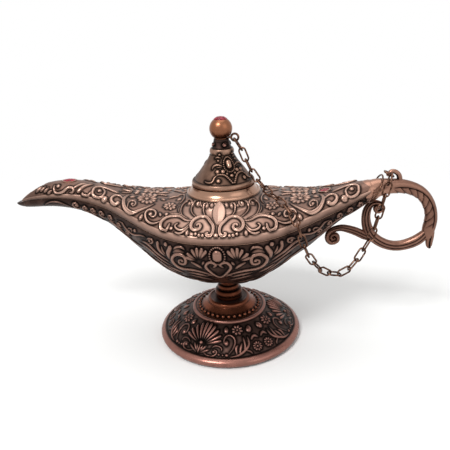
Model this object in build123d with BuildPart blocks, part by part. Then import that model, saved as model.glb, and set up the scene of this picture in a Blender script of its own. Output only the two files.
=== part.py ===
from build123d import *
import math
import os
from typing import NamedTuple

# A genie oil lamp of cast metal, in millimetres. The origin is at the centre of the foot's underside,
# +Z is up, +X points to the handle and -X to the spout.


class Station(NamedTuple):
    """One cross-section of the body. Heights are above the seat of the bowl on its stem."""

    x: float
    half_width: float
    seam: float
    crown: float
    keel: float


# Foot: a round cast dish turned upside down, hollow underneath
foot_radius = 34.5
foot_height = 19.1
foot_wall = 1.8
foot_rim_height = 3.0
foot_rim_round = 1.3
foot_ring_radius = 17.3
foot_ring_height = 14.4
foot_ring_round = 0.9
foot_dome_bulge = 0.9
foot_neck_radius = 9.4
foot_neck_height = 18.0
foot_cone_hollow = 0.5
foot_top_plate = 3.0

# Stem between foot and bowl
stem_height = 11.4
stem_base_radius = 6.4
stem_base_height = 1.6
stem_neck_radius = 4.4
stem_ring_radius = 5.5
stem_ring_height = 1.5
stem_cup_radius = 7.6
stem_cup_reach = 2.6

# Tie screw that holds foot, stem and bowl together
screw_radius = 1.95
screw_clearance = 0.2
screw_head_radius = 3.6
screw_head_height = 2.2
screw_slot_width = 0.8
screw_slot_depth = 1.1
screw_end_length = 1.2
washer_radius = 5.0
washer_thickness = 0.8
nut_across_flats = 7.0
nut_height = 3.2
nut_boss_radius = 6.0
nut_boss_height = 1.2

# Body: two cast shells that meet along a seam from the spout to the tail
body_wall = 1.5
hollow_overcut = 1.0
rim_band_height = 4.0
rim_band_share = 0.42
shoulder_power = 1.5
end_power = 2.0
shoulder_reach = 26.0
lip_reach = 101.8
lip_half_width = 1.5
lip_seam = 38.7
lip_keel = 37.4
body_stations = [
    Station(-98.0, 3.0, 39.6, 41.0, 36.3),
    Station(-93.0, 4.0, 40.7, 45.0, 36.4),
    Station(-86.0, 4.8, 41.6, 47.9, 36.7),
    Station(-77.0, 5.8, 42.1, 49.2, 36.2),
    Station(-66.0, 7.3, 41.2, 48.4, 33.6),
    Station(-54.0, 10.4, 38.5, 45.4, 27.3),
    Station(-43.0, 16.0, 35.1, 43.0, 18.3),
    Station(-30.0, 23.2, 31.3, 41.8, 8.2),
    Station(-15.0, 30.0, 29.7, 42.0, 1.8),
    Station(0.0, 32.0, 29.5, 42.4, 0.0),
    Station(15.0, 30.0, 29.7, 42.0, 2.2),
    Station(28.0, 24.3, 31.0, 41.7, 10.3),
    Station(40.0, 17.0, 33.6, 42.0, 18.4),
    Station(50.0, 11.0, 36.3, 44.0, 27.2),
    Station(60.0, 6.7, 39.9, 46.6, 34.4),
    Station(66.0, 4.6, 42.6, 47.3, 38.4),
]

# Slanted mouth in the top of the spout
mouth_half_width = 2.4
mouth_back = 88.0

# Collar round the filling hole, with a flare that runs into the shoulder
collar_height = 47.1
collar_top_radius = 14.6
collar_edge_radius = 16.6
collar_edge_height = 43.9
collar_hollow = 0.5
collar_mouth_radius = 12.2
flare_radius = 24.0
flare_height = 37.6
flare_hollow = 1.2

# Lid that lifts off the collar
lid_lip_radius = 14.2
lid_lip_height = 2.4
lid_lip_round = 0.9
lid_base_radius = 13.0
lid_cone_height = 13.6
lid_cone_radius = 7.4
lid_cone_middle = 10.2
lid_top_radius = 4.4
lid_wall = 1.5
lid_top_plate = 2.8
lid_skirt_depth = 3.6
lid_skirt_wall = 1.4
lid_skirt_clearance = 0.35

# Knob on the lid
knob_radius = 5.0
knob_centre_height = 9.1
knob_neck_radius = 2.9
knob_collar_radius = 3.8
knob_collar_height = 1.2
knob_spigot_radius = 1.6
knob_spigot_length = 4.0

# Red glass stones
knob_gem_radius = 2.1
knob_gem_pocket = 1.6
spout_gem_x = -74.0
spout_gem_length = 6.0
spout_gem_width = 4.0
spout_gem_seat = 48.5
tail_gem_x = 46.0
tail_gem_radius = 2.2
tail_gem_seat = 42.6
tail_gem_tilt = 11.0
gem_girdle = 0.8
gem_crown = 1.2
gem_taper = 38.0
gem_clearance = 0.05
bezel_wall = 0.7
bezel_height = 0.9
bezel_root = 0.7

# Handle: a ring on the tail with a curl, a leaf tip, a scroll and a hook for the chain
ring_x = 79.0
ring_height = 30.0
ring_radius = 14.3
ring_depth = 2.6
ring_thickness = 2.6
ring_limb_depth = 2.2
ring_limb_thickness = 2.1
ring_start = 112.0
ring_limb_start = -35.0
ring_end = -202.0
tail_middle_x = 72.5
tail_middle_height = 44.6
tail_middle_radius = 4.0
tail_top_height = 44.4
tail_top_radius = 3.1
curl_x = 69.3
curl_height = 35.0
curl_radius = 3.0
curl_thickness = 4.0
leaf_root_x = 93.2
leaf_root_height = 24.5
leaf_root_radius = 2.0
leaf_tip_x = 93.8
leaf_tip_height = 14.8
leaf_tip_radius = 0.5
scroll_root_x = 66.6
scroll_root_height = 20.6
scroll_bend_x = 60.4
scroll_bend_drop = 1.5
scroll_top_x = 53.5
scroll_top_height = 24.9
scroll_turn_x = 49.3
scroll_turn_drop = 1.1
scroll_end_x = 48.2
scroll_end_drop = 4.7
scroll_thickness = 1.6
volute_x = 50.4
volute_radius = 3.5
volute_thickness = 4.0
hook_x = 75.6
hook_height = 49.5
hook_radius = 2.5
hook_thickness = 0.9
hook_start = -48.0
hook_span = 208.0

# Wire rings and chain
loop_x = 68.4
loop_height = 43.65
loop_radius = 6.6
loop_wire = 0.8
loop_tilt = 23.0
hook_ring_radius = 2.2
hook_ring_wire = 0.9
hook_ring_angle = 150.0
hook_ring_droop = 20.0
hook_ring_play = 0.1
eyelet_radius = 1.6
eyelet_wire = 1.0
eyelet_height = 5.1
eyelet_stub = 1.6
eyelet_stub_depth = 1.3
chain_links = 27
link_wire = 0.8
link_width = 3.7
link_play = 0.35
chain_route = [
    (72.6, -6.9, 47.2),
    (71.0, -7.7, 41.8),
    (69.9, -7.4, 36.6),
    (68.0, -8.2, 29.7),
    (66.0, -9.4, 23.9),
    (61.8, -11.6, 17.2),
    (57.4, -14.4, 11.8),
    (52.2, -17.0, 9.6),
    (46.0, -20.0, 11.8),
    (40.6, -23.2, 17.6),
    (36.7, -26.0, 25.6),
    (34.9, -27.4, 32.0),
    (33.2, -26.8, 37.4),
    (29.4, -22.4, 42.5),
    (23.8, -14.8, 45.0),
    (18.9, -7.6, 47.2),
    (14.6, -3.8, 51.6),
    (10.8, -1.6, 58.4),
    (8.8, -0.6, 63.2),
]

# Heights that one piece hands to the next
bowl_seat = foot_height + stem_height
lid_seat = bowl_seat + collar_height
lid_top = lid_seat + lid_lip_height + lid_cone_height
screw_hole_radius = screw_radius + screw_clearance
plate_underside = foot_height - foot_top_plate
nut_seat = bowl_seat + body_wall + nut_boss_height

os.makedirs("parts", exist_ok=True)


def finish(builder, name):
    """Names a finished piece and writes it to its own file."""
    builder.part.label = name
    export_step(builder.part, f"parts/{name}.step")


def band_height(station):
    """Height of the smooth rim band, lower where the body is slim."""
    return min(rim_band_height, rim_band_share * station.half_width)


def dome_power(station):
    """Roundness of the shell above the band: nearly straight shoulders amidships, round at the ends."""
    return end_power - (end_power - shoulder_power) * math.exp(-((station.x / shoulder_reach) ** 2))


def oval_points(half_width, rise, power, steps=12):
    """Points of half a superellipse from +Y over the middle to -Y."""
    points = []
    for step in range(steps + 1):
        angle = math.pi * step / steps
        across = math.copysign(abs(math.cos(angle)) ** (2 / power), math.cos(angle))
        points.append((half_width * across, rise * math.sin(angle) ** (2 / power)))
    return points


def lower_section(station):
    """Closed outline of the body below the seam."""
    seam = bowl_seat + station.seam
    with BuildSketch(Plane.YZ.offset(station.x)) as section:
        with BuildLine():
            rim = [(y, seam - z) for y, z in oval_points(station.half_width, station.seam - station.keel, end_power)]
            Spline(rim, tangents=((0, -1), (0, 1)), tangent_scalars=(1, 1))
            Line(rim[-1], rim[0])
        make_face()
    return section.sketch


def lower_hollow_section(station):
    """Closed outline of the hollow below the seam, a wall inside the body and open past the seam."""
    seam = bowl_seat + station.seam
    half_width = station.half_width - body_wall
    depth = station.seam - station.keel - body_wall
    with BuildSketch(Plane.YZ.offset(station.x)) as section:
        with BuildLine():
            rim = [(y, seam - z) for y, z in oval_points(half_width, depth, end_power)]
            Spline(rim, tangents=((0, -1), (0, 1)), tangent_scalars=(1, 1))
            Line(rim[-1], (-half_width, seam + hollow_overcut))
            Line((-half_width, seam + hollow_overcut), (half_width, seam + hollow_overcut))
            Line((half_width, seam + hollow_overcut), rim[0])
        make_face()
    return section.sketch


def upper_section(station, wall=0.0, overcut=0.0):
    """Closed outline of the body above the seam: two upright bands and the dome between them."""
    band_top = bowl_seat + station.seam + band_height(station)
    band_foot = bowl_seat + station.seam - overcut
    half_width = station.half_width - wall
    rise = bowl_seat + station.crown - band_top - wall
    with BuildSketch(Plane.YZ.offset(station.x)) as section:
        with BuildLine():
            dome = [(y, band_top + z) for y, z in oval_points(half_width, rise, dome_power(station))]
            Line((half_width, band_foot), dome[0])
            Spline(dome, tangents=((0, 1), (0, -1)), tangent_scalars=(1, 1))
            Line(dome[-1], (-half_width, band_foot))
            Line((-half_width, band_foot), (half_width, band_foot))
        make_face()
    return section.sketch


def gem_stone(length, width):
    """A faceted stone that stands on z = 0: an upright girdle under a tapered crown."""
    with BuildPart() as stone:
        with BuildSketch():
            Ellipse(length / 2, width / 2)
        extrude(amount=gem_girdle)
        with BuildSketch(Plane.XY.offset(gem_girdle)):
            Ellipse(length / 2, width / 2)
        extrude(amount=gem_crown, taper=gem_taper)
    return stone.part


def gem_pocket_solid(length, width):
    """The space cut for a stone, with its clearance, open upwards from z = 0."""
    with BuildPart() as pocket:
        with BuildSketch():
            Ellipse(length / 2 + gem_clearance, width / 2 + gem_clearance)
        extrude(amount=gem_girdle + gem_crown + bezel_height)
    return pocket.part


def bezel_solid(length, width):
    """The raised cup round a stone, rooted below z = 0."""
    with BuildPart() as bezel:
        with BuildSketch(Plane.XY.offset(-bezel_root)):
            Ellipse(length / 2 + bezel_wall, width / 2 + bezel_wall)
        extrude(amount=bezel_root + bezel_height)
    return bezel.part


# Foot
with BuildPart() as foot:
    with BuildSketch(Plane.XZ):
        with BuildLine():
            rim_inside = foot_radius - 2 * foot_rim_round
            ring_foot = (foot_ring_radius + foot_ring_round, foot_ring_height - foot_ring_round)
            ring_end_point = (foot_ring_radius - foot_ring_round, foot_ring_height - foot_ring_round)
            rim_top = (foot_radius - foot_rim_round, foot_rim_height)
            Line((rim_inside - foot_wall, 0), (foot_radius - foot_rim_round, 0))
            ThreePointArc((foot_radius - foot_rim_round, 0), (foot_radius, foot_rim_height / 2), rim_top)
            SagittaArc(rim_top, ring_foot, -foot_dome_bulge)
            ThreePointArc(ring_foot, (foot_ring_radius, foot_ring_height), ring_end_point)
            SagittaArc(ring_end_point, (foot_neck_radius, foot_neck_height), foot_cone_hollow)
            Line((foot_neck_radius, foot_neck_height), (foot_neck_radius, foot_height))
            Line((foot_neck_radius, foot_height), (screw_hole_radius, foot_height))
            Line((screw_hole_radius, foot_height), (screw_hole_radius, plate_underside))
            Line((screw_hole_radius, plate_underside), (washer_radius + foot_wall, plate_underside))
            hollow_middle = (foot_ring_radius, foot_ring_height - foot_ring_round - foot_wall)
            Line((washer_radius + foot_wall, plate_underside), hollow_middle)
            hollow_end = (rim_inside - foot_wall, foot_rim_height - foot_wall)
            SagittaArc(hollow_middle, hollow_end, foot_dome_bulge)
            Line(hollow_end, (rim_inside - foot_wall, 0))
        make_face()
    revolve(axis=Axis.Z)
finish(foot, "foot")

# Solid forms of the body: the outside and the hollow of each shell
lip_station = Station(-lip_reach, lip_half_width, lip_seam, lip_seam, lip_keel)
with BuildPart() as bowl_outside:
    loft(sections=[lower_section(station) for station in [lip_station] + body_stations])
with BuildPart() as bowl_hollow:
    loft(sections=[lower_hollow_section(station) for station in body_stations[:-1]])
with BuildPart() as dome_outside:
    loft(sections=[upper_section(station) for station in body_stations])
with BuildPart() as dome_hollow:
    loft(sections=[upper_section(station, body_wall, hollow_overcut) for station in body_stations[1:-1]])

# Lower shell
with BuildPart() as lower_shell:
    add(bowl_outside.part)
    add(bowl_hollow.part, mode=Mode.SUBTRACT)
    with BuildSketch(Plane.XY.offset(bowl_seat + body_wall / 2)):
        Circle(nut_boss_radius)
    extrude(amount=nut_seat - bowl_seat - body_wall / 2)
    with BuildSketch(Plane.XY.offset(bowl_seat - stem_height)):
        Circle(screw_hole_radius)
    extrude(amount=nut_seat - bowl_seat + 2 * stem_height, mode=Mode.SUBTRACT)
finish(lower_shell, "lower_shell")

# Upper shell with collar, bezels and spout mouth
spout_gem_plane = Plane(origin=(spout_gem_x, 0, bowl_seat + spout_gem_seat))
tilt = math.radians(tail_gem_tilt)
tail_gem_plane = Plane(
    origin=(tail_gem_x, 0, bowl_seat + tail_gem_seat),
    x_dir=(math.cos(tilt), 0, math.sin(tilt)),
    z_dir=(-math.sin(tilt), 0, math.cos(tilt)),
)
gem_places = [
    (spout_gem_plane, spout_gem_length, spout_gem_width),
    (tail_gem_plane, 2 * tail_gem_radius, 2 * tail_gem_radius),
]
with BuildPart() as upper_shell:
    add(dome_outside.part)
    with BuildSketch(Plane.XZ):
        with BuildLine():
            flare_foot = (flare_radius, bowl_seat + flare_height)
            collar_edge = (collar_edge_radius, bowl_seat + collar_edge_height)
            collar_rim = (collar_top_radius, lid_seat)
            Line((0, bowl_seat + flare_height), flare_foot)
            SagittaArc(flare_foot, collar_edge, flare_hollow)
            SagittaArc(collar_edge, collar_rim, collar_hollow)
            Line(collar_rim, (0, lid_seat))
            Line((0, lid_seat), (0, bowl_seat + flare_height))
        make_face()
    revolve(axis=Axis.Z)
    for plane, length, width in gem_places:
        with Locations(plane.location):
            add(bezel_solid(length, width))
    add(dome_hollow.part, mode=Mode.SUBTRACT)
    with BuildSketch(Plane.XY.offset(bowl_seat)):
        Circle(collar_mouth_radius)
    extrude(amount=2 * collar_height, mode=Mode.SUBTRACT)
    with BuildSketch(Plane.XY.offset(bowl_seat)):
        with Locations((-(lip_reach + mouth_back) / 2, 0)):
            Rectangle(lip_reach - mouth_back, 2 * mouth_half_width)
        with Locations((-mouth_back, 0)):
            Circle(mouth_half_width)
    extrude(amount=2 * collar_height, mode=Mode.SUBTRACT)
    for plane, length, width in gem_places:
        with Locations(plane.location):
            add(gem_pocket_solid(length, width), mode=Mode.SUBTRACT)
finish(upper_shell, "upper_shell")

# Stem, cut to the round of the bowl that rests on it
with BuildPart() as stem:
    with BuildSketch(Plane.XZ):
        with BuildLine():
            cup_top = bowl_seat + stem_cup_reach
            base_top = foot_height + stem_base_height
            ring_low = bowl_seat - stem_cup_reach - stem_ring_height
            ring_high = bowl_seat - stem_cup_reach
            Line((screw_hole_radius, foot_height), (stem_base_radius, foot_height))
            ThreePointArc(
                (stem_base_radius, foot_height),
                (stem_base_radius + stem_base_height / 2, foot_height + stem_base_height / 2),
                (stem_base_radius, base_top),
            )
            Line((stem_base_radius, base_top), (stem_neck_radius, base_top + stem_base_height))
            Line((stem_neck_radius, base_top + stem_base_height), (stem_neck_radius, ring_low))
            ThreePointArc(
                (stem_neck_radius, ring_low),
                (stem_ring_radius, (ring_low + ring_high) / 2),
                (stem_neck_radius, ring_high),
            )
            Line((stem_neck_radius, ring_high), (stem_cup_radius, cup_top))
            Line((stem_cup_radius, cup_top), (screw_hole_radius, cup_top))
            Line((screw_hole_radius, cup_top), (screw_hole_radius, foot_height))
        make_face()
    revolve(axis=Axis.Z)
    add(bowl_outside.part, mode=Mode.SUBTRACT)
finish(stem, "stem")

# Tie screw, washer and nut
head_seat = plate_underside - washer_thickness
with BuildPart() as tie_screw:
    with BuildSketch(Plane.XY.offset(head_seat)):
        Circle(screw_head_radius)
    extrude(amount=-screw_head_height)
    with BuildSketch(Plane.XY.offset(head_seat)):
        Circle(screw_radius)
    extrude(amount=nut_seat + nut_height + screw_end_length - head_seat)
    with BuildSketch(Plane.XY.offset(head_seat - screw_head_height)):
        Rectangle(2 * screw_head_radius, screw_slot_width)
    extrude(amount=screw_slot_depth, mode=Mode.SUBTRACT)
finish(tie_screw, "tie_screw")

with BuildPart() as tie_washer:
    with BuildSketch(Plane.XY.offset(head_seat)):
        Circle(washer_radius)
        Circle(screw_hole_radius, mode=Mode.SUBTRACT)
    extrude(amount=washer_thickness)
finish(tie_washer, "tie_washer")

with BuildPart() as tie_nut:
    with BuildSketch(Plane.XY.offset(nut_seat)):
        RegularPolygon(nut_across_flats / 2, 6, major_radius=False)
        Circle(screw_radius, mode=Mode.SUBTRACT)
    extrude(amount=nut_height)
finish(tie_nut, "tie_nut")

# Lid: lip, hollow cone and a skirt that drops into the collar
skirt_radius = collar_mouth_radius - lid_skirt_clearance
lip_top = lid_seat + lid_lip_height
with BuildPart() as lid:
    with BuildSketch(Plane.XZ):
        with BuildLine():
            cone_foot = (lid_base_radius, lip_top)
            cone_middle = (lid_cone_radius, lid_seat + lid_cone_middle)
            cone_top = (lid_top_radius, lid_top)
            lip_edge = lid_lip_radius - lid_lip_round
            inner_foot = (skirt_radius - lid_skirt_wall, lid_seat)
            inner_middle = (lid_cone_radius - lid_wall, lip_top + lid_cone_middle - 2 * lid_lip_height)
            inner_top = (lid_top_radius - lid_wall, lid_top - lid_top_plate)
            Line((knob_spigot_radius, lid_top), cone_top)
            ThreePointArc(cone_top, cone_middle, cone_foot)
            Line(cone_foot, (lip_edge, lip_top))
            ThreePointArc((lip_edge, lip_top), (lid_lip_radius, lid_seat + lid_lip_height / 2), (lip_edge, lid_seat))
            Line((lip_edge, lid_seat), (skirt_radius, lid_seat))
            Line((skirt_radius, lid_seat), (skirt_radius, lid_seat - lid_skirt_depth))
            Line((skirt_radius, lid_seat - lid_skirt_depth), (inner_foot[0], lid_seat - lid_skirt_depth))
            Line((inner_foot[0], lid_seat - lid_skirt_depth), inner_foot)
            ThreePointArc(inner_foot, inner_middle, inner_top)
            Line(inner_top, (knob_spigot_radius, lid_top - lid_top_plate))
            Line((knob_spigot_radius, lid_top - lid_top_plate), (knob_spigot_radius, lid_top))
        make_face()
    revolve(axis=Axis.Z)
finish(lid, "lid")

# Eyelet on the knob's neck, and the knob with the hole for its stub
knob_centre = lid_top + knob_centre_height
eyelet_centre = (knob_neck_radius + eyelet_stub + eyelet_radius, 0, lid_top + eyelet_height)
with BuildPart() as lid_eyelet:
    with Locations(Plane(origin=eyelet_centre, x_dir=(1, 0, 0), z_dir=(0, 1, 0)).location):
        Torus(eyelet_radius, eyelet_wire / 2)
    with BuildSketch(Plane.YZ.offset(knob_neck_radius - eyelet_stub_depth)):
        with Locations((0, eyelet_centre[2])):
            Circle(eyelet_wire / 2)
    extrude(amount=eyelet_stub + eyelet_stub_depth)
finish(lid_eyelet, "lid_eyelet")

with BuildPart() as lid_knob:
    with BuildSketch(Plane.XY.offset(lid_top - knob_spigot_length)):
        Circle(knob_spigot_radius)
    extrude(amount=knob_spigot_length)
    with BuildSketch(Plane.XY.offset(lid_top)):
        Circle(knob_collar_radius)
    extrude(amount=knob_collar_height)
    with BuildSketch(Plane.XY.offset(lid_top)):
        Circle(knob_neck_radius)
    extrude(amount=knob_centre_height)
    with Locations((0, 0, knob_centre)):
        Sphere(knob_radius)
    with Locations((0, 0, knob_centre + knob_radius - knob_gem_pocket)):
        add(gem_pocket_solid(2 * knob_gem_radius, 2 * knob_gem_radius), mode=Mode.SUBTRACT)
    with BuildSketch(Plane.YZ.offset(knob_neck_radius - eyelet_stub_depth)):
        with Locations((0, eyelet_centre[2])):
            Circle(eyelet_wire / 2)
    extrude(amount=2 * eyelet_stub_depth, mode=Mode.SUBTRACT)
finish(lid_knob, "lid_knob")

# Stones
with BuildPart() as knob_gem:
    with Locations((0, 0, knob_centre + knob_radius - knob_gem_pocket)):
        add(gem_stone(2 * knob_gem_radius, 2 * knob_gem_radius))
finish(knob_gem, "knob_gem")

for name, (plane, length, width) in zip(("spout_gem", "tail_gem"), gem_places):
    with BuildPart() as gem:
        with Locations(plane.location):
            add(gem_stone(length, width))
    finish(gem, name)

# Handle: tapered tail, ring, curl and leaf tip
ring_z = bowl_seat + ring_height
tail_end = body_stations[-1]
with BuildPart() as handle:
    with BuildSketch(Plane.YZ.offset(tail_end.x)) as tail_root:
        with Locations((0, bowl_seat + (tail_end.crown + tail_end.keel) / 2)):
            Circle((tail_end.crown - tail_end.keel) / 2)
    with BuildSketch(Plane.YZ.offset(tail_middle_x)) as tail_middle:
        with Locations((0, bowl_seat + tail_middle_height)):
            Circle(tail_middle_radius)
    with BuildSketch(Plane.YZ.offset(ring_x)) as tail_tip:
        with Locations((0, bowl_seat + tail_top_height)):
            Circle(tail_top_radius)
    loft()
    for start, end, thickness, depth in (
        (ring_start, ring_limb_start, ring_thickness, ring_depth),
        (ring_limb_start, ring_end, ring_limb_thickness, ring_limb_depth),
    ):
        with BuildLine(Plane.XZ) as ring_path:
            CenterArc((ring_x, ring_z), ring_radius, start, end - start)
        with BuildSketch(Plane(origin=ring_path.line @ 0, x_dir=(0, 1, 0), z_dir=ring_path.line % 0)):
            Ellipse(depth, thickness)
        sweep()
    with BuildSketch(Plane.XZ.offset(-curl_thickness / 2)):
        with Locations((curl_x, bowl_seat + curl_height)):
            Circle(curl_radius)
    extrude(amount=curl_thickness)
    with BuildSketch(Plane.XY.offset(bowl_seat + leaf_tip_height)) as leaf_tip:
        with Locations((leaf_tip_x, 0)):
            Circle(leaf_tip_radius)
    with BuildSketch(Plane.XY.offset(bowl_seat + leaf_root_height)) as leaf_root:
        with Locations((leaf_root_x, 0)):
            Circle(leaf_root_radius)
    loft()
finish(handle, "handle")

# Scroll that runs from the ring to the keel and ends in a volute
scroll_top = bowl_seat + scroll_top_height
with BuildPart() as handle_scroll:
    with BuildLine(Plane.XZ) as scroll_path:
        ThreePointArc(
            (scroll_root_x, bowl_seat + scroll_root_height),
            (scroll_bend_x, scroll_top - scroll_bend_drop),
            (scroll_top_x, scroll_top),
        )
        ThreePointArc(
            (scroll_top_x, scroll_top),
            (scroll_turn_x, scroll_top - scroll_turn_drop),
            (scroll_end_x, scroll_top - scroll_end_drop),
        )
    with BuildSketch(Plane(origin=scroll_path.line @ 0, x_dir=(0, 1, 0), z_dir=scroll_path.line % 0)):
        Circle(scroll_thickness)
    sweep()
    with BuildSketch(Plane.XZ.offset(-volute_thickness / 2)):
        with Locations((volute_x, scroll_top - scroll_end_drop)):
            Circle(volute_radius)
    extrude(amount=volute_thickness)
    add(handle.part, mode=Mode.SUBTRACT)
    add(bowl_outside.part, mode=Mode.SUBTRACT)
finish(handle_scroll, "handle_scroll")

# Hook on top of the tail, cut to the round of the tail
with BuildPart() as chain_hook:
    with BuildLine(Plane.XZ) as hook_path:
        CenterArc((hook_x, bowl_seat + hook_height), hook_radius, hook_start, hook_span)
    with BuildSketch(Plane(origin=hook_path.line @ 0, z_dir=hook_path.line % 0)):
        Circle(hook_thickness)
    sweep()
    with Locations(hook_path.line @ 1):
        Sphere(hook_thickness)
    add(handle.part, mode=Mode.SUBTRACT)
finish(chain_hook, "chain_hook")

# Wire loop round the tail and through the hook, and the ring that hangs the chain on the hook
lean = math.radians(loop_tilt)
loop_plane = Plane(
    origin=(loop_x, 0, bowl_seat + loop_height),
    x_dir=(0, 1, 0),
    z_dir=(math.cos(lean), 0, -math.sin(lean)),
)
with BuildPart() as tail_loop:
    with Locations(loop_plane.location):
        Torus(loop_radius, loop_wire / 2)
finish(tail_loop, "tail_loop")

hang = math.radians(hook_ring_angle)
droop = math.radians(hook_ring_droop)
hook_axis = Vector(hook_x, 0, bowl_seat + hook_height)
hung_at = hook_axis + Vector(math.cos(hang), 0, math.sin(hang)) * hook_radius
hook_inward = Vector(-math.cos(hang), 0, -math.sin(hang))
ring_out = Vector(0, -math.cos(droop), 0) + hook_inward * math.sin(droop)
ring_centre = hung_at + ring_out * (hook_ring_radius - hook_ring_wire / 2 - hook_thickness - hook_ring_play)
hook_ring_plane = Plane(origin=ring_centre, x_dir=ring_out, z_dir=ring_out.cross(hook_inward))
with BuildPart() as hook_ring:
    with Locations(hook_ring_plane.location):
        Torus(hook_ring_radius, hook_ring_wire / 2)
finish(hook_ring, "hook_ring")

# Chain: equal links from the hook ring to the eyelet, each turned a quarter against the one before
chain_start = ring_centre + ring_out * (hook_ring_radius - (hook_ring_wire + link_play) / 2)
chain_end = Vector(*eyelet_centre) - Vector(0, 0, eyelet_radius - (eyelet_wire + link_play) / 2)
route_points = [Vector(x, y, bowl_seat + z) for x, y, z in chain_route]
route = Spline(chain_start, *route_points, chain_end)
knots = [route.position_at(number / chain_links) for number in range(chain_links + 1)]
link_pitch = route.length / chain_links
bend_radius = (link_width - link_wire) / 2
straight_half = (link_pitch + link_play + link_wire) / 2 - bend_radius

with BuildPart() as plain_link:
    with BuildLine() as link_path:
        Line((-straight_half, bend_radius), (straight_half, bend_radius))
        CenterArc((straight_half, 0), bend_radius, 90, -180)
        Line((straight_half, -bend_radius), (-straight_half, -bend_radius))
        CenterArc((-straight_half, 0), bend_radius, -90, -180)
    with BuildSketch(Plane(origin=(0, bend_radius, 0), z_dir=(1, 0, 0))):
        Circle(link_wire / 2)
    sweep()

for number in range(chain_links):
    along = (knots[number + 1] - knots[number]).normalized()
    across = along.cross(Vector(0, 1, 0)).normalized()
    facing = along.cross(across) if number % 2 else across
    middle = (knots[number] + knots[number + 1]) / 2
    link_plane = Plane(origin=middle, x_dir=along, z_dir=facing)
    with BuildPart() as chain_link:
        with Locations(link_plane.location):
            add(plain_link.part)
    finish(chain_link, f"chain_link_{number + 1:02d}")
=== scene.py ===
import logging
import math
from abc import ABC, abstractmethod
from collections.abc import Callable, Iterable
from dataclasses import dataclass, field
from enum import Enum

import bpy
import numpy as np
from mathutils import Matrix


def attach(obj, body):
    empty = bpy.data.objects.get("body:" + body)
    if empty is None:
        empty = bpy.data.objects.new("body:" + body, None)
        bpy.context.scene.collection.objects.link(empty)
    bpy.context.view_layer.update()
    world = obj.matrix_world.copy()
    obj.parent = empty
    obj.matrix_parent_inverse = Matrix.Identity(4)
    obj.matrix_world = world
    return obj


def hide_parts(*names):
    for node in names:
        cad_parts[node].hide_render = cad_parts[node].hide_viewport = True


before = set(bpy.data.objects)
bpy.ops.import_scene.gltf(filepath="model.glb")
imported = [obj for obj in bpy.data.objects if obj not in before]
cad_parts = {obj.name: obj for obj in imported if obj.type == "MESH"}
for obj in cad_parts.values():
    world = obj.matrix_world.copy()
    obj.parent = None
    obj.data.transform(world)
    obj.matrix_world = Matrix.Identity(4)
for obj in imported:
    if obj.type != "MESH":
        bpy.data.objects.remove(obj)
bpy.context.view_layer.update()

logging.basicConfig(level=logging.INFO, format="%(message)s")
LOG = logging.getLogger("oil_lamp")

MM = 0.001
IMAGE_WIDTH = 450
FULL_TURN = 2 * np.pi
TINY = 1e-9
NUDGE = 1e-3

Array = np.ndarray
Point = tuple[float, float]
Triple = tuple[float, float, float]
Table = tuple[tuple[float, ...], ...]
Object = bpy.types.Object
Material = bpy.types.Material
Tree = bpy.types.NodeTree
Socket = bpy.types.NodeSocket
Marks = dict[str, Array]
HeightAt = Callable[[Array, Array], Array]


class Body(Enum):
    """Moving bodies of the frame that carry pieces of this scene."""

    BASE = "base"
    LID = "lid_body"


class Slot(Enum):
    """Material slots of the record that pieces of this scene use."""

    COPPER = "cast_copper"
    GLASS = "red_glass"


class Form(Enum):
    """Cross-section of a raised line."""

    ROUND = "round"
    RIBBON = "ribbon"
    LEAF = "leaf"


class Pattern(Enum):
    """Texture node behind a mottled finish; its first output is the pattern's value."""

    CLOUDS = "ShaderNodeTexNoise"
    CELLS = "ShaderNodeTexVoronoi"


# Numbers to shapes


def natural_spline(knots: Array, values: Array) -> Callable[[Array], Array]:
    """Natural cubic spline: piecewise cubics with continuous bend and no bend at the ends.

    Args:
        knots: places of the values, rising.
        values: value at each knot.

    Returns:
        A function that gives the spline's value at any places.
    """
    count, step = len(knots), np.diff(knots)
    matrix, right = np.eye(count), np.zeros(count)
    inner = np.arange(1, count - 1)
    matrix[inner, inner - 1] = step[:-1]
    matrix[inner, inner] = 2 * (step[:-1] + step[1:])
    matrix[inner, inner + 1] = step[1:]
    right[1:-1] = 6 * np.diff(np.diff(values) / step)
    bend = np.linalg.solve(matrix, right)

    def value(place: Array) -> Array:
        """Cubic of the span that each place is in.

        Args:
            place: places along the knots.

        Returns:
            Value at each place.
        """
        at = np.asarray(place, float)
        i = np.clip(np.searchsorted(knots, at) - 1, 0, count - 2)
        a, b, h = knots[i + 1] - at, at - knots[i], step[i]
        cubic = (bend[i] * a**3 + bend[i + 1] * b**3) / (6 * h)
        return cubic + (values[i] / h - bend[i] * h / 6) * a + (values[i + 1] / h - bend[i + 1] * h / 6) * b

    return value


def smooth_line(points: Iterable[Iterable[float]], steps: int = 10) -> Array:
    """Natural cubic spline through points, by the square root of the chords between them.

    Args:
        points: points that the line passes through; in the chords each column counts over an equal range.
        steps: samples from one point to the next.

    Returns:
        Samples along the line, one per row.
    """
    knots = np.asarray(list(points), float)
    extent = np.ptp(knots, axis=0)
    chord = np.linalg.norm(np.diff(knots * extent.max() / np.maximum(extent, TINY), axis=0), axis=1)
    along = np.concatenate([[0.0], np.cumsum(np.sqrt(chord))])
    spans = np.arange((len(knots) - 1) * steps + 1) / steps
    place = np.interp(spans, np.arange(len(knots)), along)
    return np.stack([natural_spline(along, column)(place) for column in knots.T], axis=1)


def smooth_step(value: Array, low: float, high: float) -> Array:
    """0 below low, 1 above high and an S-shaped cubic in between."""
    share = np.clip((np.asarray(value, float) - low) / (high - low), 0.0, 1.0)
    return share * share * (3 - 2 * share)


def bell(value: Array, width: float) -> Array:
    """Gauss curve of height 1 about 0, with its width at the height 1 / e."""
    return np.exp(-((value / width) ** 2))


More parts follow.
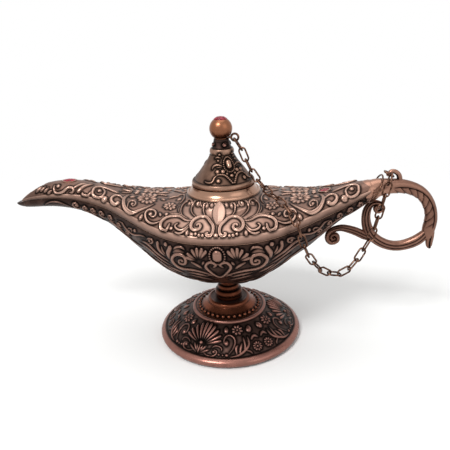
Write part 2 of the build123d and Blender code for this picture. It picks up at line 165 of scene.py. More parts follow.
def circle(count: int) -> Array:
    """Angles at equal steps round the circle."""
    return FULL_TURN * np.arange(count) / count


def grid_normals(points: Array, wrap: bool = False) -> Array:
    """Unit normals of a grid surface: the cross product of its two direction differences.

    Args:
        points: grid of points, rows by columns by 3.
        wrap: the last column meets the first.

    Returns:
        Grid of unit vectors.
    """
    padded = np.concatenate([points[:, -1:], points, points[:, :1]], axis=1) if wrap else points
    normal = np.cross(np.gradient(padded, axis=0), np.gradient(padded, axis=1))
    normal /= np.maximum(np.linalg.norm(normal, axis=2, keepdims=True), TINY)
    return normal[:, 1:-1] if wrap else normal


def grid_mesh(name: str, points: Array, marks: Marks, wrap: bool = False, facing: Array | None = None,
              keep: Array | None = None) -> Object:
    """Object with one vertex per grid point and one quad per grid cell.

    Args:
        name: name of the piece.
        points: grid of points in millimetres, rows by columns by 3.
        marks: per-point values that the finish reads, by name.
        wrap: the last column meets the first.
        facing: way that the middle cell's face looks, or None for rows cross columns.
        keep: per-cell choice of the quads that are made, all if left out.

    Returns:
        The linked object, smooth shaded.
    """
    rows, columns = points.shape[:2]
    index = np.arange(rows * columns).reshape(rows, columns)
    if wrap:
        index = np.concatenate([index, index[:, :1]], axis=1)
    quads = np.stack([index[:-1, :-1], index[1:, :-1], index[1:, 1:], index[:-1, 1:]], axis=-1)
    quads = quads[keep] if keep is not None else quads.reshape(-1, 4)
    if facing is not None:
        i, j = rows // 2, columns // 2
        way = np.cross(points[i + 1, j] - points[i, j], points[i, j + 1] - points[i, j])
        quads = quads[:, ::-1] if way @ facing < 0 else quads
    used, faces = np.unique(quads, return_inverse=True)
    mesh = bpy.data.meshes.new(name)
    mesh.vertices.add(len(used))
    mesh.vertices.foreach_set("co", (points.reshape(-1, 3)[used] * MM).ravel())
    mesh.loops.add(faces.size)
    mesh.loops.foreach_set("vertex_index", faces.ravel().astype(np.int32))
    mesh.polygons.add(faces.size // 4)
    mesh.polygons.foreach_set("loop_start", np.arange(0, faces.size, 4, dtype=np.int32))
    mesh.update(calc_edges=True)
    mesh.shade_smooth()
    for mark, values in marks.items():
        layer = mesh.attributes.new(mark, "FLOAT", "POINT")
        layer.data.foreach_set("value", values.ravel()[used].astype(np.float32))
    piece = bpy.data.objects.new(name, mesh)
    bpy.context.scene.collection.objects.link(piece)
    return piece


# Finishes


def linear(code: str) -> tuple[float, float, float, float]:
    """Linear colour of an sRGB hex code such as "#A06040".

    Args:
        code: the hex code.

    Returns:
        Red, green, blue and a full alpha.
    """
    parts = np.array([int(code[i:i + 2], 16) for i in (1, 3, 5)]) / 255
    straight = np.where(parts <= 0.04045, parts / 12.92, ((parts + 0.055) / 1.055) ** 2.4)
    return (*straight.tolist(), 1.0)


def add_node(tree: Tree, kind: str, inputs: dict | None = None, **settings: object) -> bpy.types.Node:
    """Adds one node.

    Args:
        tree: node tree that gets it.
        kind: Blender's name of the node type.
        inputs: value, or output socket to link, by input name or number.
        settings: properties of the node.

    Returns:
        The node.
    """
    node = tree.nodes.new(kind)
    for key, value in settings.items():
        setattr(node, key, value)
    for key, value in (inputs or {}).items():
        if isinstance(value, Socket):
            tree.links.new(value, node.inputs[key])
        else:
            node.inputs[key].default_value = value
    return node


def blank_material(name: str) -> tuple[Material, Tree, Socket]:
    """New material with an emptied node tree.

    Args:
        name: name of the material.

    Returns:
        The material, its node tree, and the object coordinates in it.
    """
    material = bpy.data.materials.new(name)
    material.use_nodes = True
    tree = material.node_tree
    tree.nodes.clear()
    return material, tree, add_node(tree, "ShaderNodeTexCoord").outputs["Object"]


def blend(tree: Tree, share: Socket, first: object, second: object) -> Socket:
    """Colour that goes from the first to the second with the share."""
    return add_node(tree, "ShaderNodeMix", {0: share, 6: first, 7: second}, data_type="RGBA").outputs[2]


@dataclass(frozen=True)
class CopperFinish:
    """Antique copper: cast, darkened in a sulphide bath, then rubbed back so that the raised parts shine.

    Attributes:
        name: material name.
        ground: colour of the flat ground between the ornament.
        crest_and_highlight: colour of the rubbed, raised parts, and of the painted highlights that some
            pieces carry.
        crease_and_shade: colour left in the hollows, and of the painted shade that some pieces carry.
        rough: roughness of ground and crest.
        metallic: share of bare metal; the rest is film.
        film_gloss: how much that film reflects.
        cloud_mm: size of the uneven patches in the darkening.
        cloud: how much those patches add to the rubbing or take from it.
        grain_mm: size of the fine pits of the casting skin.
        grain_depth: height of those pits in millimetres.
        grain_strength: share of the pits that shows.
    """

    name: str
    ground: str
    crest_and_highlight: str
    crease_and_shade: str
    rough: Point = (0.40, 0.26)
    metallic: float = 0.8
    film_gloss: float = 0.08
    cloud_mm: float = 5.0
    cloud: float = 0.16
    grain_mm: float = 0.35
    grain_depth: float = 0.006
    grain_strength: float = 0.6

    def make(self) -> Material:
        """Bare copper on the crests, brown film on the ground, near-black in the creases, fine casting grain.

        Returns:
            The material, driven by the piece's crest_and_highlight and crease_and_shade values, which hold
            painted highlight and painted shade besides the rubbed crests and the patina in the hollows.
        """
        material, tree, place = blank_material(self.name)
        cloud = add_node(tree, "ShaderNodeTexNoise", {
            "Vector": place, "Scale": 1 / (self.cloud_mm * MM), "Detail": 3.0, "Roughness": 0.6})
        grain = add_node(tree, "ShaderNodeTexNoise", {
            "Vector": place, "Scale": 1 / (self.grain_mm * MM), "Detail": 2.0})
        crest_and_highlight, crease_and_shade = (add_node(tree, "ShaderNodeAttribute", attribute_name=mark).outputs["Fac"]
                         for mark in ("crest_and_highlight", "crease_and_shade"))
        uneven = add_node(tree, "ShaderNodeMapRange", {
            "Value": cloud.outputs[0], "From Min": 0.3, "From Max": 0.7,
            "To Min": -self.cloud, "To Max": self.cloud})
        rubbing_and_light = add_node(tree, "ShaderNodeMath", {0: crest_and_highlight, 1: uneven.outputs["Result"]},
                          operation="ADD", use_clamp=True).outputs[0]
        wear_and_highlight = blend(tree, rubbing_and_light, linear(self.ground), linear(self.crest_and_highlight))
        rough = add_node(tree, "ShaderNodeMapRange", {
            "Value": rubbing_and_light, "To Min": self.rough[0], "To Max": self.rough[1]})
        bump = add_node(tree, "ShaderNodeBump", {
            "Height": grain.outputs[0], "Strength": self.grain_strength, "Distance": self.grain_depth * MM})
        metal = add_node(tree, "ShaderNodeBsdfPrincipled", {
            "Base Color": blend(tree, crease_and_shade, wear_and_highlight, linear(self.crease_and_shade)), "Metallic": self.metallic,
            "Roughness": rough.outputs["Result"], "Specular IOR Level": self.film_gloss,
            "Normal": bump.outputs["Normal"]})
        add_node(tree, "ShaderNodeOutputMaterial", {"Surface": metal.outputs["BSDF"]})
        return material


@dataclass(frozen=True)
class MottledFinish:
    """Two tones of one material that change into each other by a fine pattern.

    Attributes:
        name: material name.
        low: colour where the pattern is low.
        high: colour where it is high.
        pattern: the pattern.
        size_mm: its size.
        span: pattern values at which the two colours are pure.
        surface: values of the shader, by input name.
    """

    name: str
    low: str
    high: str
    pattern: Pattern
    size_mm: float
    span: Point
    surface: dict[str, float]

    def make(self) -> Material:
        """The two colours, mixed by the pattern in object coordinates.

        Returns:
            The material.
        """
        material, tree, place = blank_material(self.name)
        texture = add_node(tree, self.pattern.value, {"Vector": place, "Scale": 1 / (self.size_mm * MM)})
        share = add_node(tree, "ShaderNodeMapRange", {
            "Value": texture.outputs[0], "From Min": self.span[0], "From Max": self.span[1]})
        colour = blend(tree, share.outputs["Result"], linear(self.low), linear(self.high))
        shader = add_node(tree, "ShaderNodeBsdfPrincipled", {"Base Color": colour, **self.surface})
        add_node(tree, "ShaderNodeOutputMaterial", {"Surface": shader.outputs["BSDF"]})
        return material


# Castings: light crests on a brown ground, black lines round the ornament; bowl and foot are left darkest by
# their patina, and the bowl's colours also hold painted shade where it faces down.
SHOULDER_COPPER = CopperFinish("antique_copper_cast_shoulder", "#7F6256", "#C09C8B", "#060201")
# The bowl's dark ground is patina, with painted shade for its downward-facing underside.
BOWL_COPPER = CopperFinish("antique_copper_cast_bowl", "#33241F", "#8E6D60", "#030101")
FOOT_COPPER = CopperFinish("antique_copper_cast_foot", "#40302B", "#91655A", "#040201")
LID_COPPER = CopperFinish("antique_copper_cast_lid", "#5F483C", "#A27F6C", "#060302", (0.5, 0.28))
HANDLE_COPPER = CopperFinish("antique_copper_cast_handle", "#5C3F35", "#A27A68", "#0A0402", (0.34, 0.28))
# Turned on a lathe: smooth red-brown with soft rings of light.
STEM_COPPER = CopperFinish("antique_copper_turned_stem", "#462214", "#7A4733", "#080302", (0.3, 0.26))
# Polished by hand: bright satin with broad highlights.
SMOOTH_COPPER = CopperFinish("antique_copper_polished", "#A07C68", "#B98E76", "#140906", (0.24, 0.22), 1.0)
KNOB_COPPER = CopperFinish("antique_copper_polished_knob", "#85563E", "#94644B", "#100604", (0.32, 0.3), 1.0)
# Drawn wire, copper-plated, tumbled and darkened: even satin with a little brown film left on it.
WIRE = MottledFinish("copper_plated_wire_darkened", "#38241C", "#7A5948", Pattern.CLOUDS, 1.6, (0.35, 0.65),
                     {"Metallic": 1.0, "Roughness": 0.32})
# Pressed glass with a foil behind it: deep red and glossy, lighter where the foil wrinkles.
RED_GLASS = MottledFinish("pressed_red_glass_foil_backed", "#C4243F", "#5E0A18", Pattern.CELLS, 0.9,
                          (0.0, 0.7), {"Roughness": 0.2, "IOR": 1.52, "Specular IOR Level": 0.25})
# Zinc plating: pale grey satin with a fine spangle of crystals.
STEEL = MottledFinish("zinc_plated_steel", "#C9C8C2", "#8E8F8E", Pattern.CELLS, 0.8, (0.0, 1.0),
                      {"Metallic": 1.0, "Roughness": 0.35})


# Ornament


@dataclass(frozen=True)
class RaisedLine:
    """A raised line in space: points, half width at each, height and cross-section."""

    points: Array
    half: Array
    height: float
    form: Form = Form.ROUND


@dataclass
class Chart:
    """A surface that ornament is laid out on, by two coordinates.

    Attributes:
        place: gives surface points in millimetres for rows of the two coordinates.
        mirror: -1 lays the first coordinate out the other way round.
        shift: added to the first coordinate.
    """

    place: Callable[[Array], Array]
    mirror: float = 1.0
    shift: float = 0.0

    def at(self, spots: Array) -> Array:
        """Surface points of coordinate rows, after mirroring and shifting."""
        return self.place(spots * (self.mirror, 1.0) + (self.shift, 0.0))

    def both_ways(self, shift: float = 0.0) -> tuple["Chart", "Chart"]:
        """The same surface shifted, as it is and mirrored."""
        return Chart(self.place, 1.0, shift), Chart(self.place, -1.0, shift)

    def round_spot(self, spot: Point, angle: Array, reach: Array | Point | float) -> Array:
        """Coordinates that lie given millimetres away from a spot.

        Args:
            spot: coordinates of the spot.
            angle: directions, from the first coordinate's to the second's.
            reach: distance in each direction, or along the two coordinates.

        Returns:
            Coordinate rows.
        """
        near = self.at(np.array([spot, (spot[0] + NUDGE, spot[1]), (spot[0], spot[1] + NUDGE)]))
        scale = np.linalg.norm(near[1:] - near[0], axis=1) / NUDGE
        return np.asarray(spot) + np.stack([np.cos(angle), np.sin(angle)], axis=1) * reach / scale


class Ornament(ABC):
    """A raised form of the relief, given in chart coordinates with widths and heights in millimetres."""

    @abstractmethod
    def lines(self, chart: Chart) -> list[RaisedLine]:
        """Raised lines that make the form.

        Args:
            chart: surface it lies on.

        Returns:
            The lines in space.
        """


@dataclass(frozen=True)
class Stroke(Ornament):
    """Scroll line through chart points; ends are the width at both ends as a share of the full width."""

    points: tuple[Point, ...]
    width: float
    height: float
    ends: Point = (0.3, 0.3)
    form: Form = Form.ROUND

    def lines(self, chart: Chart) -> list[RaisedLine]:
        """Spline through the points, swelling from end to middle by a power of a sine.

        Args:
            chart: surface it lies on.

        Returns:
            One raised line.
        """
        spots = smooth_line(self.points)
        share = np.linspace(0.0, 1.0, len(spots))
        ends = self.ends[0] + (self.ends[1] - self.ends[0]) * share
        swell = ends + (1 - ends) * np.sin(np.pi * share) ** 0.6
        return [RaisedLine(chart.at(spots), self.width / 2 * swell, self.height, self.form)]


@dataclass(frozen=True)
class Bead(Ornament):
    """Half-round bead."""

    spot: Point
    radius: float
    height: float

    def lines(self, chart: Chart) -> list[RaisedLine]:
        """A line of no length with a round section is a half ball."""
        return [RaisedLine(chart.at(np.array([self.spot] * 2)), np.full(2, self.radius), self.height)]


@dataclass(frozen=True)
class Drop(Ornament):
    """Leaf or drop from its thin end to its full end; lean is where along it is widest."""

    points: tuple[Point, ...]
    width: float
    height: float
    lean: float = 0.62
    thinnest: float = 0.12

    def lines(self, chart: Chart) -> list[RaisedLine]:
        """Half width grows as a power of a sine that peaks at the lean share of the length.

        Args:
            chart: surface it lies on.

        Returns:
            One raised line with a ridge.
        """
        spots = smooth_line(self.points)
        share = np.linspace(0.0, 1.0, len(spots))
        peak = np.where(share < self.lean, share / self.lean, (1 - share) / (1 - self.lean))
        half = self.width / 2 * np.maximum(np.sin(np.pi / 2 * peak) ** 0.8, self.thinnest)
        return [RaisedLine(chart.at(spots), half, self.height, Form.LEAF)]


@dataclass(frozen=True)
class Fan(Ornament):
    """Palmette of lobes that spread from a base to full, round tips; inner is where on the way they start."""

    base: Point
    tips: tuple[Point, ...]
    width: float
    height: float
    inner: float = 0.2
    lean: float = 0.84

    def lines(self, chart: Chart) -> list[RaisedLine]:
        """Each lobe is a drop that starts off the base, so dark gaps stay between the lobes.

        Args:
            chart: surface it lies on.

        Returns:
            One line per lobe.
        """
        base = np.array(self.base)
        starts = [tuple(base + self.inner * (np.array(tip) - base)) for tip in self.tips]
        lobes = [Drop(ends, self.width, self.height, self.lean) for ends in zip(starts, self.tips)]
        return [line for lobe in lobes for line in lobe.lines(chart)]


@dataclass(frozen=True)
class Flower(Ornament):
    """Round flower: petals about a bead; inner is where the petals start and eye the bead, by the radius."""

    spot: Point
    radius: float
    petals: int
    height: float
    inner: float = 0.3
    eye: float = 0.24
    lean: float = 0.7
    fullness: float = 1.365

    def lines(self, chart: Chart) -> list[RaisedLine]:
        """Petals are drops out to the full radius at equal angles, as wide as their fullness allows.

        Args:
            chart: surface it lies on.

        Returns:
            The bead and one line per petal.
        """
        angle = circle(self.petals) + np.pi / self.petals
        tips = chart.round_spot(self.spot, angle, self.radius)
        starts = chart.round_spot(self.spot, angle, self.radius * self.inner)
        width = self.fullness * np.pi * self.radius / self.petals
        petals = [Drop(ends, width, self.height, self.lean) for ends in zip(starts, tips)]
        made = Bead(self.spot, self.radius * self.eye, self.height).lines(chart)
        return made + [line for petal in petals for line in petal.lines(chart)]


@dataclass(frozen=True)
class BeadRing(Ornament):
    """Oval ring of beads round a spot."""

    spot: Point
    radii: Point
    count: int
    radius: float
    height: float

    def lines(self, chart: Chart) -> list[RaisedLine]:
        """Beads at equal angles on an oval."""
        ring = chart.round_spot(self.spot, circle(self.count), self.radii)
        return [line for spot in ring for line in Bead(tuple(spot), self.radius, self.height).lines(chart)]


@dataclass(frozen=True)
class Curl(Ornament):
    """Spiral curl with a bead at its centre; eye is the bead's radius by the curl's."""

    spot: Point
    radius: float
    width: float
    height: float
    turns: float = 1.35
    eye: float = 0.34

    def lines(self, chart: Chart) -> list[RaisedLine]:
        """Radius shrinks evenly from full to a quarter, and the width swells by the root of a sine.

        Args:
            chart: surface it lies on.

        Returns:
            The spiral and its bead.
        """
        share = np.linspace(0.0, 1.0, 40)
        reach = self.radius * (1 - 0.75 * share)
        spots = chart.round_spot(self.spot, FULL_TURN * self.turns * share, reach[:, None])
        half = self.width / 2 * (0.35 + 0.65 * np.sin(np.pi * np.clip(share * 1.1, 0, 1)) ** 0.5)
        ring = RaisedLine(chart.at(spots), half, self.height)
        return [ring, *Bead(self.spot, self.radius * self.eye, self.height).lines(chart)]


@dataclass
class Relief:
    """Height field on a grid surface, raised line by line.

    Attributes:
        ground: grid of surface points in millimetres.
        normal: grid of outward unit normals.
        boldness: factor on the height of every line.
        reach: distance from a raised edge up to which it is measured.
        wear: heights over which the metal goes from film to rubbed crest.
        thinnest: least height of a line where it is thin, as a share of its full height.
        ridge: share by which a leaf falls from its ridge to its edge, beside its rounding.
        ribbon: depth of a ribbon's groove by its height, and width of the groove by half the ribbon's.
        height: grid of heights above the ground.
        gap: distance from the nearest raised edge, negative inside a line.
        groove: nearness to the middle groove of a ribbon, 0 to 1.
    """

    ground: Array
    normal: Array
    boldness: float = 1.35
    reach: float = 1.6
    wear: Point = (0.14, 0.7)
    thinnest: float = 0.35
    ridge: float = 0.28
    ribbon: Point = (0.34, 0.3)
    height: Array = field(init=False)
    gap: Array = field(init=False)
    groove: Array = field(init=False)

    def __post_init__(self) -> None:
        """Starts with a bare ground."""
        shape = self.ground.shape[:2]
        self.height, self.groove, self.gap = np.zeros(shape), np.zeros(shape), np.full(shape, self.reach)

    def raise_line(self, line: RaisedLine) -> None:
        """Lifts the ground near a line.

        The distance s from the nearest point of the line, as a share of the half width there, gives the
        height: round is the square root of 1 - s^2, a leaf falls from a ridge, and a ribbon is a rounded flat
        with a groove along its middle. A line is lower where it is thin, down to about a third.

        Args:
            line: the raised line.
        """
        margin = float(line.half.max()) + self.reach
        low, high = line.points.min(axis=0) - margin, line.points.max(axis=0) + margin
        near = np.all((self.ground > low) & (self.ground < high), axis=2)
        if not near.any():
            return
        spots = self.ground[near][:, None]
        first, run = line.points[:-1], np.diff(line.points, axis=0)
        share = ((spots - first) * run).sum(axis=2) / np.maximum((run * run).sum(axis=1), TINY)
        share = np.clip(share, 0.0, 1.0)
        away = np.linalg.norm(spots - first - share[..., None] * run, axis=2)
        half = line.half[:-1] + share * np.diff(line.half)
        nearest = np.arange(len(away)), (away - half).argmin(axis=1)
        away, half = away[nearest], half[nearest]
        s = np.clip(away / half, 0.0, 1.0)
        tall = self.boldness * line.height * np.clip(half / line.half.max(), self.thinnest, 1.0)
        match line.form:
            case Form.ROUND:
                shape = np.sqrt(1 - s**2)
            case Form.LEAF:
                shape = np.sqrt(1 - s**2) * (1 - self.ridge * s)
            case Form.RIBBON:
                shape = (1 - s**4) ** 0.6 * (1 - self.ribbon[0] * bell(s, self.ribbon[1]))
        over = tall * shape > self.height[near]
        self.groove[near] = np.where(over, bell(s, 0.25) * (line.form is Form.RIBBON), self.groove[near])
        self.height[near] = np.maximum(self.height[near], tall * shape)
        self.gap[near] = np.minimum(self.gap[near], away - half)

    def lay(self, ornament: Iterable[Ornament], charts: Iterable[Chart]) -> None:
        """Raises every ornament on every chart."""
        for line in (line for chart in charts for item in ornament for line in item.lines(chart)):
            self.raise_line(line)

    def surface(self, cover: Array, lift: float = 0.12, sink: float = 0.7) -> Array:
        """Raised surface: along the normal by lift plus height where covered, down by sink where not.

        Args:
            cover: 1 where the relief shows, 0 where it dives into what it lies on.
            lift: distance of the bare ground from the surface below.
            sink: depth of uncovered points.

        Returns:
            Grid of points.
        """
        rise = cover * (lift + self.height) - (1 - cover) * sink
        return self.ground + self.normal * rise[..., None]

    def marks(self, crease_mm: float) -> Marks:
        """Crest from the height, crease from the nearness to a raised foot and from ribbon grooves.

        Args:
            crease_mm: width of the dark line along a raised foot.

        Returns:
            The two values by name.
        """
        crest_and_highlight = smooth_step(self.height, *self.wear) * (1 - 0.35 * self.groove)
        outside = 1 - smooth_step(self.gap, 0.1 * crease_mm, crease_mm)
        inside = np.maximum(smooth_step(self.gap, -0.2, 0.02), 0.3 * self.groove)
        return {"crest_and_highlight": crest_and_highlight, "crease_and_shade": np.where(self.gap > 0.0, outside, inside)}


# Ornament tables in chart coordinates: on the body x in millimetres and the share across, from 0 on the ridge
# or keel to -1 at the front seam; on foot and lid degrees and the share of the height. All but SPOUT and
# LID_AXIS are laid as they are and mirrored.

SHOULDER: tuple[Ornament, ...] = (
    Stroke(((-8.6, -0.671), (-8, -0.642), (-7.1, -0.66), (-7, -0.727), (-8.2, -0.782), (-9.7, -0.79),
        (-10.8, -0.733), (-11, -0.654), (-10.2, -0.573), (-8.7, -0.519), (-6.8, -0.495), (-4.5, -0.52),
        (-2.6, -0.608), (-1.7, -0.661), (-1.3, -0.764), (-1.7, -0.88), (-2.7, -0.95), (-3.8, -0.925),
        (-4.1, -0.869), (-3.5, -0.85)), 1.5, 0.62, (0.6, 0.6), Form.RIBBON),
    *(Bead(spot, 0.7, 0.5) for spot in ((-8.6, -0.895), (-7.1, -0.935), (-5.6, -0.95))),
    Bead((0.2, -0.925), 0.85, 0.5),
    Drop(((-12.2, -0.795), (-12.5, -0.97)), 1.683, 0.5),
    Stroke(((-11.4, -0.577), (-14, -0.585), (-16.1, -0.542), (-18.5, -0.531), (-20.9, -0.563),
        (-23, -0.627), (-24.4, -0.73), (-24.6, -0.839), (-23.8, -0.956), (-22.4, -0.971), (-21.1, -0.847),
        (-20.7, -0.739)), 1.4, 0.55, (0.35, 0.6), Form.RIBBON),
    Stroke(((-12.9, -0.553), (-15, -0.52), (-17.1, -0.489), (-19.7, -0.488), (-21.8, -0.523)), 0.66, 0.36,
        (0.3, 0.5)),
    Stroke(((-12, -0.659), (-13.3, -0.762), (-15.1, -0.834), (-17, -0.82), (-18, -0.743), (-17.1, -0.684)),
        0.996, 0.43, (0.25, 0.7)),
    Stroke(((-11.9, -0.714), (-13.8, -0.858), (-15.9, -0.952), (-17.7, -0.934)), 0.924, 0.4, (0.2, 0.7)),
    Bead((-19.6, -0.843), 0.83, 0.432),
    Stroke(((-24.9, -0.712), (-26.5, -0.801), (-28.8, -0.88), (-30.9, -0.876), (-32.4, -0.766),
        (-32.7, -0.623), (-31.5, -0.524), (-29.5, -0.504), (-28.1, -0.555), (-28.1, -0.638),
        (-29.3, -0.686), (-30.3, -0.66)), 1.104, 0.5, (0.35, 0.6)),
    Bead((-30.4, -0.629), 0.99, 0.516),
    Drop(((-34.1, -0.694), (-35, -0.961)), 1.87, 0.48),
    Stroke(((-44.1, -0.215), (-45, -0.382), (-44.3, -0.62), (-42.4, -0.825), (-39.6, -0.86),
        (-36.7, -0.687), (-33.4, -0.488), (-30.6, -0.34)), 1.75, 0.56, (0.6, 0.3), Form.RIBBON),
    Stroke(((-41.6, -0.78), (-42.2, -0.603), (-42.1, -0.475), (-40.9, -0.398), (-39.4, -0.409),
        (-38.8, -0.486), (-39.4, -0.565), (-40.5, -0.561)), 0.912, 0.43, (0.3, 0.6)),
    Bead((-40.3, -0.506), 0.82, 0.432),
    Drop(((-43.1, -0.284), (-40.9, -0.203)), 2.145, 0.432),
    Flower((-35, -0.213), 4.85, 12, 0.43),
    Flower((-22.8, -0.335), 2.98, 8, 0.43),
    Bead((-23.1, -0.527), 0.92, 0.432),
    Drop(((-20.6, -0.19), (-18.9, -0.135)), 1.936, 0.432),
    Stroke(((-24.3, -0.136), (-21.4, -0.067), (-19, -0.034), (-17.7, -0.099), (-17.9, -0.203),
        (-18.8, -0.257)), 0.852, 0.4, (0.3, 0.5)),
    Stroke(((-14.8, -0.531), (-16.6, -0.456), (-17.2, -0.356), (-16.7, -0.265), (-15.1, -0.21),
        (-13, -0.25), (-12.5, -0.277), (-13.7, -0.281), (-14.9, -0.288)), 0.816, 0.43, (0.4, 0.6)),
    Drop(((-13.3, -0.256), (-14.8, -0.261)), 1.375, 0.432),
    Stroke(((-17.2, -0.467), (-18.1, -0.39), (-18.1, -0.315)), 0.588, 0.29),
    Stroke(((-9.7, -0.502), (-11.7, -0.437), (-12.6, -0.343), (-11.9, -0.29), (-10.2, -0.288),
        (-8.6, -0.305), (-8.3, -0.324), (-9.2, -0.335), (-10.5, -0.317)), 0.816, 0.43, (0.4, 0.6)),
    Drop(((-9.1, -0.309), (-10.3, -0.317)), 1.353, 0.432),
    Stroke(((-5.6, -0.48), (-6.7, -0.403), (-6.8, -0.357), (-6.3, -0.341), (-5.2, -0.345)), 0.732, 0.4,
        (0.4, 0.7)),
    Drop(((-5, -0.348), (-5.6, -0.377)), 1.507, 0.432),
    Drop(((-3, -0.355), (-3.3, -0.376)), 1.672, 0.432),
    Bead((-7.9, -0.346), 0.49, 0.348),
    Stroke(((-58.2, -0.214), (-55.7, -0.179), (-52.6, -0.216), (-49.2, -0.244)), 1.0, 0.45, (0.4, 0.4)),
    Stroke(((-48.9, -0.118), (-47.9, -0.023), (-45.6, -0.01), (-44, -0.036), (-45.6, -0.131),
        (-47.9, -0.173)), 0.85, 0.45, (0.4, 0.4)),
    Bead((-41.3, -0.045), 1.2, 0.55),
    Bead((-37.8, -0.06), 1.2, 0.55),
    Bead((-34.8, -0.045), 1.0, 0.5),
    Bead((-32.2, -0.07), 1.2, 0.55),
    Stroke(((-31.8, -0.028), (-29.1, -0.039), (-26.3, -0.066)), 1.1, 0.45, (0.4, 0.4)),
    Stroke(((-25, -0.147), (-22.8, -0.105), (-20.2, -0.072)), 1.0, 0.45, (0.4, 0.4)),
    Drop(((-28.6, -0.16), (-26.2, -0.2)), 1.6, 0.42),
    Drop(((-26.5, -0.52), (-25.4, -0.6)), 1.3, 0.4),
    Stroke(((-45.4, -0.46), (-47.4, -0.37), (-49.5, -0.42), (-50.6, -0.6), (-50.2, -0.8), (-48.8, -0.89),
        (-47.5, -0.84)), 1.5, 0.56, (0.5, 0.9)),
    Bead((-47.1, -0.74), 1.15, 0.6),
    Bead((-53.9, -0.892), 1.54, 0.6),
    Stroke(((-48.7, -0.223), (-52.3, -0.189), (-55.8, -0.183), (-58.2, -0.209), (-60, -0.364),
        (-60.3, -0.629), (-59.3, -0.883), (-57, -0.941), (-54.9, -0.676), (-55, -0.398), (-56.7, -0.259)),
        1.3, 0.58, (0.3, 0.6)),
    Bead((-57.3, -0.471), 1.0, 0.6),
)

SPOUT: tuple[Ornament, ...] = (
    Stroke(((-61.8, -0.135), (-63.6, -0.262), (-65.4, -0.455), (-67.3, -0.779)), 2.0, 0.43, (0.15, 0.9)),
    Stroke(((-64.3, -0.176), (-66.9, -0.323), (-69.2, -0.553)), 1.6, 0.4, (0.15, 0.9)),
    Stroke(((-61.1, -0.659), (-62.9, -0.99), (-64.7, -1), (-65.2, -0.875)), 1.404, 0.43, (0.5, 0.8)),
    Stroke(((-79.9, -0.444), (-79.9, -0.681), (-78.6, -0.96), (-76, -0.932), (-73.8, -0.742),
        (-71.8, -0.604), (-70.1, -0.666), (-70.4, -0.893), (-71.6, -0.915)), 1.4, 0.5, (0.4, 0.5)),
    Bead((-77.9, -0.537), 0.99, 0.432),
    Drop(((-86.1, -0.269), (-89.7, -0.768)), 1.551, 0.432),
    Drop(((-84.6, -0.423), (-87.3, -0.763)), 1.463, 0.432),
    Drop(((-82.8, -0.57), (-85.3, -0.855)), 1.54, 0.432),
    Drop(((-81, -0.737), (-83.5, -0.98)), 1.529, 0.432),
)

